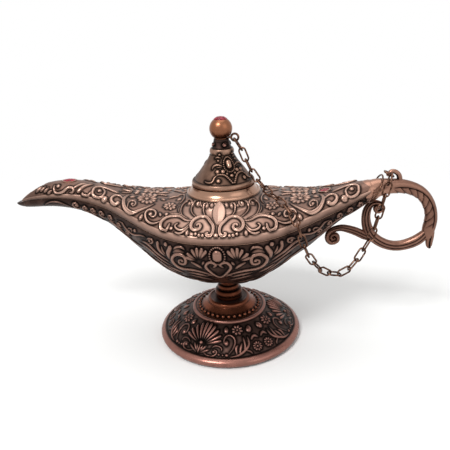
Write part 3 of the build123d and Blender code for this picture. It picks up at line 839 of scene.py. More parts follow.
BOWL: tuple[Ornament, ...] = (
    Fan((-8.3, -0.824), ((-13.6, -0.852), (-13, -0.902), (-10.7, -0.951), (-8.5, -0.972), (-6.2, -0.972),
        (-4.4, -0.949)), 1.8, 0.62),
    Stroke(((-1.9, -0.618), (-4.3, -0.648), (-7.3, -0.676), (-10.4, -0.69), (-13.7, -0.684),
        (-17.1, -0.673), (-19.6, -0.705), (-20.5, -0.765), (-19.3, -0.833), (-17.1, -0.869),
        (-14.8, -0.862), (-14, -0.812), (-15, -0.755), (-16.9, -0.75), (-17.1, -0.789), (-15.9, -0.812)),
        1.75, 0.62, (0.3, 0.5)),
    Bead((-15.7, -0.797), 0.85, 0.5),
    Stroke(((-19, -0.914), (-17.4, -0.95), (-15.3, -0.96), (-13.9, -0.935)), 1.3, 0.5),
    Stroke(((-19.6, -0.868), (-16.9, -0.911), (-14.3, -0.901)), 1.8, 0.34, (0.2, 0.2)),
    Stroke(((-20.7, -0.922), (-21.4, -0.88), (-22.1, -0.829), (-21.9, -0.755)), 2.3, 0.56, (0.95, 0.2)),
    Bead((-22.7, -0.944), 1.1, 0.52),
    Stroke(((-26.7, -0.925), (-26.8, -0.86), (-25.7, -0.814), (-23.5, -0.781)), 1.8, 0.52, (0.95, 0.2)),
    Stroke(((-25, -0.893), (-24.6, -0.849), (-23.3, -0.804)), 1.1, 0.42, (0.6, 0.3)),
    Stroke(((-32.5, -0.881), (-30.8, -0.928), (-29.3, -0.925), (-29.8, -0.878), (-31.2, -0.855)), 1.1, 0.46,
        (0.4, 0.6)),
    Bead((-31, -0.892), 0.8, 0.45),
    Stroke(((-35.4, -0.799), (-32.8, -0.822), (-30.8, -0.805), (-28.5, -0.766), (-25.6, -0.736),
        (-22.5, -0.708)), 1.7, 0.48, (0.4, 0.4)),
    Stroke(((-37, -0.725), (-33, -0.741), (-29, -0.7), (-25, -0.66), (-21, -0.645)), 1.4, 0.42, (0.4, 0.3)),
    Stroke(((-5.8, -0.6), (-4, -0.64), (-2.6, -0.6)), 1.2, 0.4),
    Stroke(((0, -0.598), (-1.7, -0.627), (-4, -0.698), (-5.3, -0.761), (-4.3, -0.811), (-2.1, -0.818),
        (-1, -0.787), (-2.1, -0.762)), 1.5, 0.6, (0.7, 0.5)),
    Drop(((-7.1, -0.772), (-5.8, -0.832)), 1.4, 0.44),
    Stroke(((-11.4, -0.802), (-8.9, -0.77), (-7, -0.73)), 1.5, 0.46, (0.7, 0.2)),
    Stroke(((-14.6, -0.628), (-11.1, -0.632), (-7.5, -0.622), (-5, -0.59)), 1.5, 0.44),
    Stroke(((-14.2, -0.57), (-11.2, -0.575), (-6.4, -0.55), (-3, -0.52)), 1.4, 0.42),
    Stroke(((-24, -0.6), (-20, -0.592), (-16, -0.585)), 1.5, 0.42),
    Stroke(((-31, -0.63), (-27, -0.605), (-22.5, -0.54), (-18, -0.52)), 1.4, 0.4),
    Stroke(((-16, -0.47), (-11, -0.45), (-5, -0.43)), 1.6, 0.42),
    Stroke(((-26, -0.48), (-20, -0.44), (-14, -0.39)), 1.6, 0.42),
    Stroke(((-37, -0.57), (-31, -0.51), (-25.5, -0.43)), 1.5, 0.42),
    Stroke(((-12, -0.35), (-8, -0.31), (-3, -0.31)), 1.5, 0.4),
    Stroke(((-21, -0.34), (-15, -0.28), (-10, -0.22)), 1.5, 0.4),
    Stroke(((-31, -0.4), (-25, -0.33), (-20, -0.26)), 1.5, 0.4),
    Stroke(((0.1, -0.912), (0.1, -0.872)), 3.9, 0.85, (1, 1)),
    BeadRing((0.1, -0.892), (3.25, 4.3), 22, 0.42, 0.46),
    Stroke(((-47.8, -0.866), (-45.4, -0.891), (-43.8, -0.84), (-41.1, -0.8), (-36.9, -0.866),
        (-34.5, -0.905), (-32.9, -0.912)), 1.1, 0.44, (0.4, 0.4)),
    Bead((-38.4, -0.91), 0.95, 0.46),
    Stroke(((-42.8, -0.812), (-41.5, -0.886), (-40.2, -0.89), (-40.8, -0.825)), 0.85, 0.4, (0.4, 0.5)),
    Stroke(((-86.8, -0.509), (-84.1, -0.75), (-81.3, -0.829), (-78.5, -0.796), (-75.8, -0.704),
        (-71.9, -0.518)), 0.9, 0.4, (0.4, 0.4)),
    Curl((-69.6, -0.75), 2.2, 0.95, 0.5),
    Curl((-64.9, -0.714), 1.9, 0.85, 0.5),
    Curl((-60.8, -0.736), 2.0, 0.9, 0.5),
    Curl((-56.3, -0.777), 2.1, 0.9, 0.5),
    Curl((-51.6, -0.815), 2.0, 0.9, 0.5),
    Curl((-47.2, -0.775), 1.8, 0.85, 0.5),
    Curl((-42.9, -0.735), 1.8, 0.85, 0.46),
    Stroke(((-68, -0.42), (-63.5, -0.5), (-59, -0.45), (-55, -0.5)), 1.1, 0.4),
    Stroke(((-54, -0.62), (-50.5, -0.68), (-47, -0.66), (-43.5, -0.66)), 1.2, 0.42),
    Stroke(((-51, -0.5), (-46, -0.58), (-41, -0.6), (-36.5, -0.65)), 1.3, 0.4),
)

FOOT_UNIT: tuple[Ornament, ...] = (
    Fan((0, 0.42), ((3.4, 1), (9.9, 0.955), (15.6, 0.86), (19.6, 0.735), (20.6, 0.6)), 1.5, 0.55),
    Bead((0, 0.47), 0.85, 0.6),
    Stroke(((0, 0.4), (0, 0.16)), 0.7, 0.34, (0.9, 0.5)),
    Drop(((1.2, 0.2), (4.1, 0.318), (7.1, 0.445)), 1.1, 0.36),
    Drop(((1.4, 0.16), (6.3, 0.26), (11, 0.34)), 1.1, 0.36),
    Drop(((1, 0.24), (2, 0.32), (3.2, 0.42)), 0.9, 0.36),
    Stroke(((5, 0.213), (10.9, 0.139), (15.5, 0.184), (16.6, 0.299), (13.8, 0.341)), 0.912, 0.32,
        (0.5, 0.6)),
    Bead((14.2, 0.277), 0.76, 0.4),
    Stroke(((11.7, 0.383), (15.7, 0.446), (20.4, 0.406), (20.7, 0.308)), 0.816, 0.3, (0.5, 0.6)),
    Bead((18.9, 0.209), 0.59, 0.36),
    Bead((22.2, 0.194), 0.5, 0.36),
    Bead((25.6, 0.196), 0.75, 0.4),
    Drop(((24.4, 0.928), (24.6, 0.793)), 2.178, 0.5),
    Flower((38.1, 0.843), 2.5, 8, 0.42),
    Stroke(((27.7, 0.235), (32.7, 0.45), (33.8, 0.617), (29.1, 0.73), (23.6, 0.673), (22.9, 0.554),
        (25.1, 0.47)), 0.96, 0.32, (0.5, 0.6)),
    Drop(((25.7, 0.61), (25.1, 0.47)), 1.87, 0.5),
    Drop(((53.9, 0.901), (51, 0.76)), 2.673, 0.5),
    Stroke(((28.8, 0.138), (35.1, 0.174), (41.3, 0.285), (46.7, 0.443), (47.5, 0.651)), 1.32, 0.4,
        (0.5, 0.3)),
    Stroke(((34.3, 0.187), (34.2, 0.373), (36.2, 0.461)), 1.1, 0.36, (0.4, 0.4)),
    Stroke(((36.8, 0.214), (38.5, 0.384), (40.4, 0.508)), 1.1, 0.36, (0.4, 0.4)),
    Stroke(((39.9, 0.264), (42.8, 0.415), (42.9, 0.66)), 1, 0.36, (0.4, 0.4)),
    Stroke(((42.1, 0.291), (45.9, 0.242), (47.6, 0.151)), 0.95, 0.32, (0.4, 0.4)),
    Stroke(((50.6, 0.545), (54.4, 0.633), (58.1, 0.566)), 1.44, 0.36, (0.3, 0.4)),
    Flower((54.2, 0.334), 2.25, 10, 0.42),
)

LID_UNIT: tuple[Ornament, ...] = (
    Bead((-32.9, 0.883), 0.64, 0.348),
    Stroke(((-51.7, 0.771), (-42.2, 0.802), (-28.2, 0.785)), 0.828, 0.29, (0.5, 0.5)),
    Bead((-37.4, 0.7), 0.58, 0.348),
    Stroke(((-52.1, 0.449), (-48.6, 0.546), (-36.2, 0.576), (-22.8, 0.541)), 1.08, 0.36, (0.3, 0.5)),
    Stroke(((-41.3, 0.507), (-23.9, 0.504)), 0.504, 0.25, (0.5, 0.5)),
    Bead((-35.5, 0.386), 0.95, 0.432),
    Bead((-20.8, 0.393), 0.95, 0.432),
    Bead((-10.6, 0.323), 0.58, 0.348),
    Stroke(((-62.3, 0.089), (-53.8, 0.061), (-44.6, 0.09), (-41, 0.208), (-37, 0.262)), 0.95, 0.42,
        (0.3, 0.6)),
    *(Bead(spot, 0.5, 0.36) for spot in ((-34.5, 0.295), (-30.5, 0.31), (-26.5, 0.312), (-22.5, 0.307),
        (-18.6, 0.293), (-15, 0.272), (-12, 0.24), (-9.3, 0.2), (-6.8, 0.153), (-4.5, 0.105),
        (-2.2, 0.055))),
    Bead((-31.3, 0.129), 0.99, 0.432),
)

LID_AXIS: tuple[Ornament, ...] = (
    Stroke(((0, 0.52), (0, 0.645)), 2.3, 0.95, (1, 1)),
    BeadRing((0, 0.583), (2.25, 3.45), 24, 0.38, 0.42),
    Bead((0, 0.26), 0.8, 0.45),
)


# Sub-assemblies


def settle(piece: Object, body: Body, material: Material, node: str = "") -> None:
    """Gives a piece its finish and its body, and logs it.

    Args:
        piece: finished object.
        body: body that carries it.
        material: its finish.
        node: the frame's solid that it stands for, if any.
    """
    piece.data.materials.append(material)
    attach(piece, body.value)
    if node:
        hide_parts(node)
    LOG.info("%s: %d faces", piece.name, len(piece.data.polygons))


def dress_node(name: str, material: Material) -> None:
    """Puts a finish on a solid of the frame.

    Args:
        name: name of the solid's node.
        material: the finish.
    """
    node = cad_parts[name]
    node.data.materials.clear()
    node.data.materials.append(material)
    LOG.info("%s: solid, %s", name, material.name)


def front_and_back(name: str, points: Array, marks: Marks, material: Material, facing: Array,
                   keep: Array | None = None) -> None:
    """A piece on the front of the body and its mirror image at the back.

    Args:
        name: name of the two pieces, before _front and _back.
        points: grid of points of the front.
        marks: values for the finish.
        material: the finish.
        facing: way that the front's middle cell looks.
        keep: per-cell choice of the quads that are made, all if left out.
    """
    for side, mirror in (("front", (1.0, 1.0, 1.0)), ("back", (1.0, -1.0, 1.0))):
        piece = grid_mesh(f"{name}_{side}", points * mirror, marks, facing=facing * mirror, keep=keep)
        settle(piece, Body.BASE, material)


@dataclass
class LampBody:
    """Boat-shaped body: two half shells with relief, from the spout's lip to the tail.

    Attributes:
        stations: x, half width, then heights of seam, crown and keel above the bowl's seat.
        lip: how far the skin reaches past the first station.
        seat: height of the bowl's lowest point above the table.
        band: height of the smooth band above the seam, and its most as a share of the half width.
        band_bulge: outward bow of the band.
        blunt: how far the shoulder's power is below 2 in the middle, and the length over which that fades.
        collar: radius at which the flare meets the collar, and radius at which it leaves the shoulder.
        flare: height at which it leaves the shoulder, rise to the collar, and fall outside that radius.
        flare_span: shares of the way to the collar between which the flare is followed.
        fillet: square of the rounding between flare and shoulder.
        columns, rows: grid columns from spout to tail; grid rows on shoulder, band and bowl.
        dense: distances from the middle between which the columns thin out to half as many.
        bowl_ease: power that brings the bowl's rows closer together near the seam.
        spout_end, tail_end: x between which the skin dives into the solid at both ends.
        collar_edge: radii between which it comes out from under the collar.
        slot: x of the spout slot's round end, and half the slot's width.
        settings: x, half length and half width of each stone's setting.
        bowl_crease, shoulder_crease: width of the dark lines round the ornament.
        leaf: top and tip of the leaf below the collar.
        leaf_half, leaf_ridge: its half width and the height of its ridge.
        leaf_hollow, leaf_wall: how far its middle line sinks, and the depth of its side walls.
    """

    stations: Table = (
        (-98, 3.0, 39.6, 41.0, 36.3), (-93, 4.0, 40.7, 45.0, 36.4), (-86, 4.8, 41.6, 47.9, 36.7),
        (-77, 5.8, 42.1, 49.2, 36.2), (-66, 7.3, 41.2, 48.4, 33.6), (-54, 10.4, 38.5, 45.4, 27.3),
        (-43, 16.0, 35.1, 43.0, 18.3), (-30, 23.2, 31.3, 41.8, 8.2), (-15, 30.0, 29.7, 42.0, 1.8),
        (0, 32.0, 29.5, 42.4, 0.0), (15, 30.0, 29.7, 42.0, 2.2), (28, 24.3, 31.0, 41.7, 10.3),
        (40, 17.0, 33.6, 42.0, 18.4), (50, 11.0, 36.3, 44.0, 27.2), (60, 6.7, 39.9, 46.6, 34.4),
        (66, 4.6, 42.6, 47.3, 38.4))
    lip: float = 0.2
    seat: float = 30.5
    band: Point = (4.0, 0.42)
    band_bulge: float = 0.75
    blunt: Point = (0.5, 26.0)
    collar: Point = (16.6, 24.0)
    flare: Triple = (68.1, 6.3, 12.0)
    flare_span: Point = (-0.5, 1.08)
    fillet: float = 0.04
    columns: int = 620
    dense: Point = (20.0, 60.0)
    rows: tuple[int, int, int] = (144, 14, 156)
    bowl_ease: float = 0.6
    spout_end: Point = (-98.1, -97.4)
    tail_end: Point = (65.6, 65.95)
    collar_edge: Point = (16.55, 16.95)
    slot: Point = (-88.0, 2.4)
    settings: Table = ((-74.0, 3.7, 2.7), (46.0, 2.9, 2.9))
    bowl_crease: float = 1.3
    shoulder_crease: float = 1.45
    leaf: Table = ((0.1, -17.0, 74.5), (0.4, -28.2, 67.1))
    leaf_half: float = 3.1
    leaf_ridge: float = 0.65
    leaf_hollow: float = 0.9
    leaf_wall: float = 2.6

    def __post_init__(self) -> None:
        """Splines of half width, seam, crown and keel along x, and the places of the grid columns."""
        x, *values = np.array(self.stations).T
        self.width, self.seam, self.crown, self.keel = (natural_spline(x, value) for value in values)
        fine = np.linspace(x[0] - self.lip, x[-1], 2000)
        count = np.cumsum(1 / (1 + smooth_step(np.abs(fine), *self.dense)))
        self.x = np.interp(np.linspace(count[0], count[-1], self.columns), count, fine)

    def band_height(self, x: Array) -> Array:
        """Height of the smooth band at x."""
        return np.minimum(self.band[0], self.band[1] * self.width(x))

    def shoulder(self, spots: Array) -> Array:
        """Shoulder points: y is the half width times the sine of a quarter turn times the second coordinate.

        The height above the band follows a superellipse across, and the collar's flare is a parabola of the
        radius; the higher of the two holds, with a small rounding between them.

        Args:
            spots: x and share across, -1 at the front seam and 0 on the ridge, one pair per row.

        Returns:
            Points in millimetres.
        """
        x, across = spots.T
        width, foot = self.width(x), self.seam(x) + self.band_height(x)
        y = width * np.sin(np.pi / 2 * across)
        share = np.clip(np.abs(y) / width, 0.0, 1.0)
        power = 2.0 - self.blunt[0] * bell(x, self.blunt[1])
        dome = self.seat + foot + (self.crown(x) - foot) * (1 - share**power) ** (1 / power)
        inner, outer = self.collar
        base, rise, fall = self.flare
        s = np.clip((outer - np.hypot(x, y)) / (outer - inner), *self.flare_span)
        flare = base + rise * s * np.maximum(s, 0.0) + fall * np.minimum(s, 0.0)
        z = 0.5 * (dome + flare + np.sqrt((dome - flare) ** 2 + self.fillet))
        return np.stack([x, y, np.where(s > self.flare_span[0], z, dome)], axis=1)

    def bowl(self, spots: Array) -> Array:
        """Bowl points: half ellipses below the seam, as wide as the body and as deep as its keel.

        Args:
            spots: x and share across, -1 at the front seam and 0 on the keel, one pair per row.

        Returns:
            Points in millimetres.
        """
        x, across = spots.T
        y = self.width(x) * np.sin(np.pi / 2 * across)
        z = self.seat + self.seam(x) - (self.seam(x) - self.keel(x)) * np.cos(np.pi / 2 * across)
        return np.stack([x, y, z], axis=1)

    def grid(self, place: Callable[[Array], Array], rows: int, ease: float = 1.0) -> Array:
        """Grid of points from the ridge or keel in the first row to the front seam in the last.

        Args:
            place: surface points of coordinate rows.
            rows: number of rows.
            ease: below 1 the rows stand closer near the seam.

        Returns:
            The grid.
        """
        across = -np.linspace(0.0, 1.0, rows) ** ease
        spots = np.stack(np.meshgrid(self.x, across), axis=-1)
        return place(spots.reshape(-1, 2)).reshape(rows, self.columns, 3)

    def band_grid(self) -> Array:
        """Grid of the smooth band, from just below the shoulder to the seam, bulging a little by a sine.

        Returns:
            The grid.
        """
        down = np.linspace(0.0, 1.0, self.rows[1] + 1)[1:, None]
        y = -(self.width(self.x) + self.band_bulge * np.sin(np.pi * down**0.6))
        z = self.seat + self.seam(self.x) + self.band_height(self.x) * (1 - down)
        return np.stack([np.broadcast_to(self.x, y.shape), y, z], axis=-1)

    def ends_cover(self, x: Array) -> Array:
        """1 along the body, 0 at both ends, where the skin dives into the solid."""
        return smooth_step(x, *self.spout_end) * (1 - smooth_step(x, *self.tail_end))

    def shoulder_cover(self, points: Array) -> Array:
        """1 on the shoulder, 0 under the collar, in the spout's slot and under the stones' settings.

        Args:
            points: grid of points.

        Returns:
            Cover per point.
        """
        x, y = points[..., 0], points[..., 1]
        end, half = self.slot
        beside = np.where(x < end, np.abs(y), np.hypot(x - end, y)) - half
        cover = self.ends_cover(x) * smooth_step(np.hypot(x, y), *self.collar_edge)
        cover *= smooth_step(beside, 0.1, 0.5)
        for middle, long, wide in self.settings:
            cover *= smooth_step(np.hypot((x - middle) / long, y / wide), 0.95, 1.05)
        return cover

    def skin(self, name: str, relief: Relief, cover: Array, marks: Marks, material: Material) -> None:
        """Front skin and its mirror image at the back; the seam row is dark and dives into the solid.

        Args:
            name: name of the two pieces, before _front and _back.
            relief: height field of the front.
            cover: where it shows.
            marks: values for the finish.
            material: its finish.
        """
        cover[-1] = 0.0
        marks["crease_and_shade"][-2:] = 1.0
        shown = cover > 0.0
        keep = shown[:-1, :-1] | shown[1:, :-1] | shown[1:, 1:] | shown[:-1, 1:]
        middle = relief.normal[len(cover) // 2, self.columns // 2]
        front_and_back(name, relief.surface(cover), marks, material, middle, keep)

    def build_shoulder(self, material: Material) -> None:
        """Shoulder, spout top and polished band in one skin, with the scrolls raised on it.

        Args:
            material: its finish.
        """
        dome = self.grid(self.shoulder, self.rows[0])
        ground = np.concatenate([dome, self.band_grid()], axis=0)
        normal = grid_normals(ground)
        normal *= np.sign(normal[2, self.columns // 3, 2])
        relief = Relief(ground, normal)
        chart = Chart(self.shoulder)
        relief.lay(SHOULDER, chart.both_ways())
        relief.lay(SPOUT, (chart,))
        marks = relief.marks(self.shoulder_crease)
        x, aside = ground[..., 0], np.abs(ground[..., 0])
        down = np.clip((np.arange(len(ground)) - self.rows[0] + 3) / self.rows[1], 0.0, 1.0)[:, None]
        # Painted highlight along the top of the band, and less of it on the shoulder about the middle.
        wear_and_highlight = np.where(down > 0.0, 1 - down, 0.5 * (1 - smooth_step(aside, 9.0, 24.0)))
        marks["crest_and_highlight"] = np.maximum(marks["crest_and_highlight"], wear_and_highlight)
        # Painted shade low on the band, towards both ends and on the spout, and most of all a painted shadow
        # below the collar.
        painted_shade = 0.4 * down**2 + 0.16 * smooth_step(aside, 18.0, 50.0) + 0.3 * smooth_step(-x, 74.0, 96.0)
        collar_shadow = 1 - smooth_step(np.hypot(x, ground[..., 1]), 16.8, 17.7)
        marks["crease_and_shade"] = np.maximum.reduce([marks["crease_and_shade"], painted_shade, collar_shadow])
        self.skin("shoulder_relief", relief, self.shoulder_cover(ground), marks, material)

    def build_leaf(self, material: Material) -> None:
        """Pointed leaf below the collar: two flat facets that meet in a ridge, on a hollow middle line.

        Args:
            material: its finish.
        """
        top, tip = np.array(self.leaf)
        share = np.linspace(0.0, 1.0, 49)[:, None]
        across = np.concatenate([[-1.0], np.linspace(-1.0, 1.0, 25), [1.0]])
        out = np.array([0.0, tip[2] - top[2], top[1] - tip[1]]) / np.linalg.norm(tip - top)
        half = self.leaf_half * np.sin(np.pi * share**0.8) ** 0.9
        rise = self.leaf_ridge * (1 - np.abs(across)) - 4 * self.leaf_hollow * share * (1 - share)
        rise[:, [0, -1]] -= self.leaf_wall
        points = (top + share * (tip - top))[:, None] + rise[..., None] * out
        points[..., 0] += half * across
        edge = smooth_step(np.abs(across), 0.72, 1.0) + 0 * share
        front_and_back("shoulder_leaf", points, {"crest_and_highlight": 1 - 0.5 * edge, "crease_and_shade": edge}, material, out)

    def build_collar_edge(self, material: Material) -> None:
        """Small roll along the collar's lower edge, polished on top, with painted shade below where it meets
        the shoulder.

        Args:
            material: its finish.
        """
        # The darkness at its two lower corners is painted shade.
        roll = TurnedSkin("collar_edge", ((16.1, 75.1), (16.75, 74.55), (16.95, 74.1), (16.7, 73.6)),
                          (6, 6, 5), (0.0, 0.1, 0.0), (0.3, 0.2, 0.0), (0.0, 0.0, 0.7, 1.0), 220)
        roll.finish(roll.relief(), Body.BASE, material)

    def build_bowl(self, material: Material) -> None:
        """Bowl and spout underside in one skin, with palmettes, volutes and curls.

        Args:
            material: its finish.
        """
        ground = self.grid(self.bowl, self.rows[2], self.bowl_ease)
        normal = grid_normals(ground)
        normal *= -np.sign(normal[2, self.columns // 2, 2])
        relief = Relief(ground, normal)
        relief.lay(BOWL, Chart(self.bowl).both_ways())
        marks = relief.marks(self.bowl_crease)
        self.skin("bowl_relief", relief, self.ends_cover(ground[..., 0]), marks, material)


def bowed_line(corners: Iterable[Point], rows: Iterable[int], bows: Iterable[float]) -> Array:
    """Line through corners whose straight runs are bowed outwards by a parabola.

    Args:
        corners: radius and height of each corner.
        rows: samples in each run.
        bows: outward bow of each run in millimetres.

    Returns:
        Radius and height of the samples, one pair per row.
    """
    ends = np.array(corners)
    runs = []
    for first, run, count, bow in zip(ends, np.diff(ends, axis=0), rows, bows):
        share = np.linspace(0.0, 1.0, count, endpoint=False)[:, None]
        across = np.array([run[1], -run[0]]) / np.linalg.norm(run)
        runs.append(first + share * run + 4 * bow * share * (1 - share) * across)
    return np.concatenate([*runs, ends[-1:]])


def turned_chart(line: Array) -> Chart:
    """Chart of angle in degrees and share of the height on a turned surface.

    Args:
        line: radius and height along the surface, rising.

    Returns:
        The chart.
    """
    radii, heights = line.T

    def place(spots: Array) -> Array:
        """Point at each angle and share.

        Args:
            spots: angle and share, one pair per row.

        Returns:
            Points in millimetres.
        """
        height = heights[0] + (heights[-1] - heights[0]) * spots[:, 1]
        radius, angle = np.interp(height, heights, radii), np.radians(spots[:, 0])
        return np.stack([radius * np.cos(angle), radius * np.sin(angle), height], axis=1)

    return Chart(place)


@dataclass
class TurnedSkin:
    """Skin turned about the upright axis over a turned solid.

    Attributes:
        name: name of the piece.
        profile: radius and height of the profile's corners, from bottom to top, outside.
        rows: grid rows for each run of the profile.
        bulge: outward bow of each run in millimetres.
        shine: how far each run is rubbed bright, 0 to 1.
        dark: darkness at each corner, 0 to 1, which on the ball and on the collar's roll is painted shade.
        columns: grid columns round the axis.
        crease_mm: width of the dark line along raised feet.
        corner_mm: distance from a corner at which its darkness has faded to a third.
    """

    name: str
    profile: tuple[Point, ...]
    rows: tuple[int, ...]
    bulge: tuple[float, ...]
    shine: tuple[float, ...]
    dark: tuple[float, ...]
    columns: int
    crease_mm: float = 1.45
    corner_mm: float = 0.42

    def __post_init__(self) -> None:
        """Profile samples, with the numbers of those at the corners."""
        self.line = bowed_line(self.profile, self.rows, self.bulge)
        self.corners = np.concatenate([[0], np.cumsum(self.rows)])

    def chart(self, run: int) -> Chart:
        """Chart of one run."""
        return turned_chart(self.line[self.corners[run]:self.corners[run + 1] + 1])

    def relief(self, boldness: float = 1.0) -> Relief:
        """Bare height field of the profile carried round the axis, normals outwards.

        Args:
            boldness: factor on the height of its ornament.

        Returns:
            The height field.
        """
        angle = circle(self.columns)
        radius, height = self.line[:, :1], self.line[:, 1:]
        ground = np.stack([radius * np.cos(angle), radius * np.sin(angle), height + 0 * angle], axis=-1)
        normal = grid_normals(ground, wrap=True)
        middle = len(ground) // 2
        outward = (normal[middle] * ground[middle] * (1, 1, 0)).sum()
        return Relief(ground, normal * np.sign(outward), boldness)

    def marks(self, relief: Relief) -> Marks:
        """Marks of the relief, with each run's shine and each corner's darkness added.

        Args:
            relief: the height field.

        Returns:
            The two values by name.
        """
        marks = relief.marks(self.crease_mm)
        along = np.concatenate([[0.0], np.cumsum(np.linalg.norm(np.diff(self.line, axis=0), axis=1))])
        shine = np.append(np.repeat(self.shine, self.rows), self.shine[-1])
        dark = (self.dark * bell(along[:, None] - along[self.corners], self.corner_mm)).max(axis=1)
        marks["crest_and_highlight"] = np.maximum(marks["crest_and_highlight"], shine[:, None])
        marks["crease_and_shade"] = np.maximum(marks["crease_and_shade"], dark[:, None])
        return marks

    def finish(self, relief: Relief, body: Body, material: Material, slot: Slot = Slot.COPPER,
               node: str = "") -> None:
        """Makes the piece; its first and last rows dive into the solid.

        Args:
            relief: height field.
            body: body that carries it.
            material: its finish.
            slot: material slot of the record; not used.
            node: the frame's solid that it stands for, if any.
        """
        cover = np.ones(relief.height.shape)
        cover[[0, -1]] = 0.0
        middle = relief.normal[len(cover) // 2, self.columns // 2]
        piece = grid_mesh(self.name, relief.surface(cover), self.marks(relief), wrap=True, facing=middle)
        settle(piece, body, material, node)


@dataclass
class Foot:
    """Round foot: thick smooth rim, domed relief and ring; above it a smooth cone with a bead row and ring.

    Attributes:
        skin: rim, dome and ring.
        cone: the cone above.
        dome: surface that the dome's ornament is laid out on.
        boldness: factor on the height of the dome's and the cone's ornament.
        repeats: mirrored units round the dome.
        first: angle of the first unit.
        beads: beads in the row on the cone.
        bead: share of the cone's height at which they sit, their radius and height.
    """

    skin: TurnedSkin = field(default_factory=lambda: TurnedSkin(
        "foot_relief", ((33.35, 0.05), (32.7, 4.45), (32.0, 4.25), (18.2, 13.5), (17.0, 14.7), (16.3, 14.3)),
        (18, 3, 66, 12, 4), (1.95, 0.0, 0.85, 0.6, 0.0), (0.85, 0.0, 0.0, 0.72, 0.0),
        (0.3, 0.6, 1.0, 1.0, 0.2, 1.0), 680))
    cone: TurnedSkin = field(default_factory=lambda: TurnedSkin(
        "foot_cone", ((17.1, 14.1), (16.6, 14.5), (10.4, 17.5), (8.9, 19.2), (8.0, 18.4)), (3, 30, 10, 4),
        (0.0, -0.4, 0.7, 0.0), (0.0, 0.8, 0.6, 0.0), (1.0, 1.0, 0.5, 0.6, 1.0), 640))
    dome: Chart = field(default_factory=lambda: turned_chart(
        bowed_line(((33.2, 3.0), (18.2, 13.5)), (66,), (0.9,))))
    boldness: Point = (1.4, 1.3)
    repeats: int = 3
    first: float = -112.4
    beads: int = 34
    bead: Triple = (0.2, 0.8, 0.6)

    def build(self, material: Material, turned: Material) -> None:
        """Raises the six half units of the dome, and the bead row on the cone.

        Args:
            material: finish of the cast dome and rim.
            turned: finish of the cone.
        """
        relief = self.skin.relief(self.boldness[0])
        for unit in range(self.repeats):
            relief.lay(FOOT_UNIT, self.dome.both_ways(self.first + unit * 360.0 / self.repeats))
        self.skin.finish(relief, Body.BASE, material)
        row = self.cone.relief(self.boldness[1])
        share, radius, height = self.bead
        row.lay([Bead((360.0 * n / self.beads, share), radius, height) for n in range(self.beads)],
                (self.cone.chart(1),))
        self.cone.finish(row, Body.BASE, turned)


@dataclass
class Stem:
    """Turned stem between foot and bowl: disc, ring and a neck that widens upwards."""

    skin: TurnedSkin = field(default_factory=lambda: TurnedSkin(
        "stem_turning", ((6.4, 18.9), (6.3, 20.9), (5.9, 23.7), (4.9, 23.9), (4.8, 26.2), (4.1, 26.5),
                         (4.9, 30.6), (7.6, 33.0)),
        (6, 12, 3, 12, 3, 16, 8), (0.0, 0.6, 0.0, 0.45, 0.0, -0.1, -0.3),
        (0.0, 0.2, 0.0, 0.25, 0.0, 0.6, 0.3), (1.0, 1.0, 0.9, 1.0, 0.9, 0.8, 0.2, 1.0), 120))

    def build(self, material: Material) -> None:
        """The turned skin stands for the stem's solid."""
        self.skin.finish(self.skin.relief(), Body.BASE, material, node="stem")


def ball_skin(radius: float = 5.0, middle: float = 102.7, span: Point = (40.0, 178.0),
              runs: int = 17) -> TurnedSkin:
    """Skin of the lid's ball, with painted shade darkening it towards the neck.

    Args:
        radius: radius of the ball.
        middle: height of its centre.
        span: angles from the downward axis between which the skin lies, in degrees.
        runs: runs of its profile.

    Returns:
        The skin.
    """
    degrees = np.linspace(*span, runs + 1)
    sides, ups = radius * np.sin(np.radians(degrees)), middle - radius * np.cos(np.radians(degrees))
    # Painted shade: the corners' darkness grows from the ball's middle down to the neck.
    dark = np.interp(degrees, (40.0, 62.0, 95.0), (0.9, 0.5, 0.0))
    return TurnedSkin("knob_ball", tuple(zip(sides, ups)), (4,) * runs, (0.02,) * runs, (0.3,) * runs,
                      tuple(dark), 72)


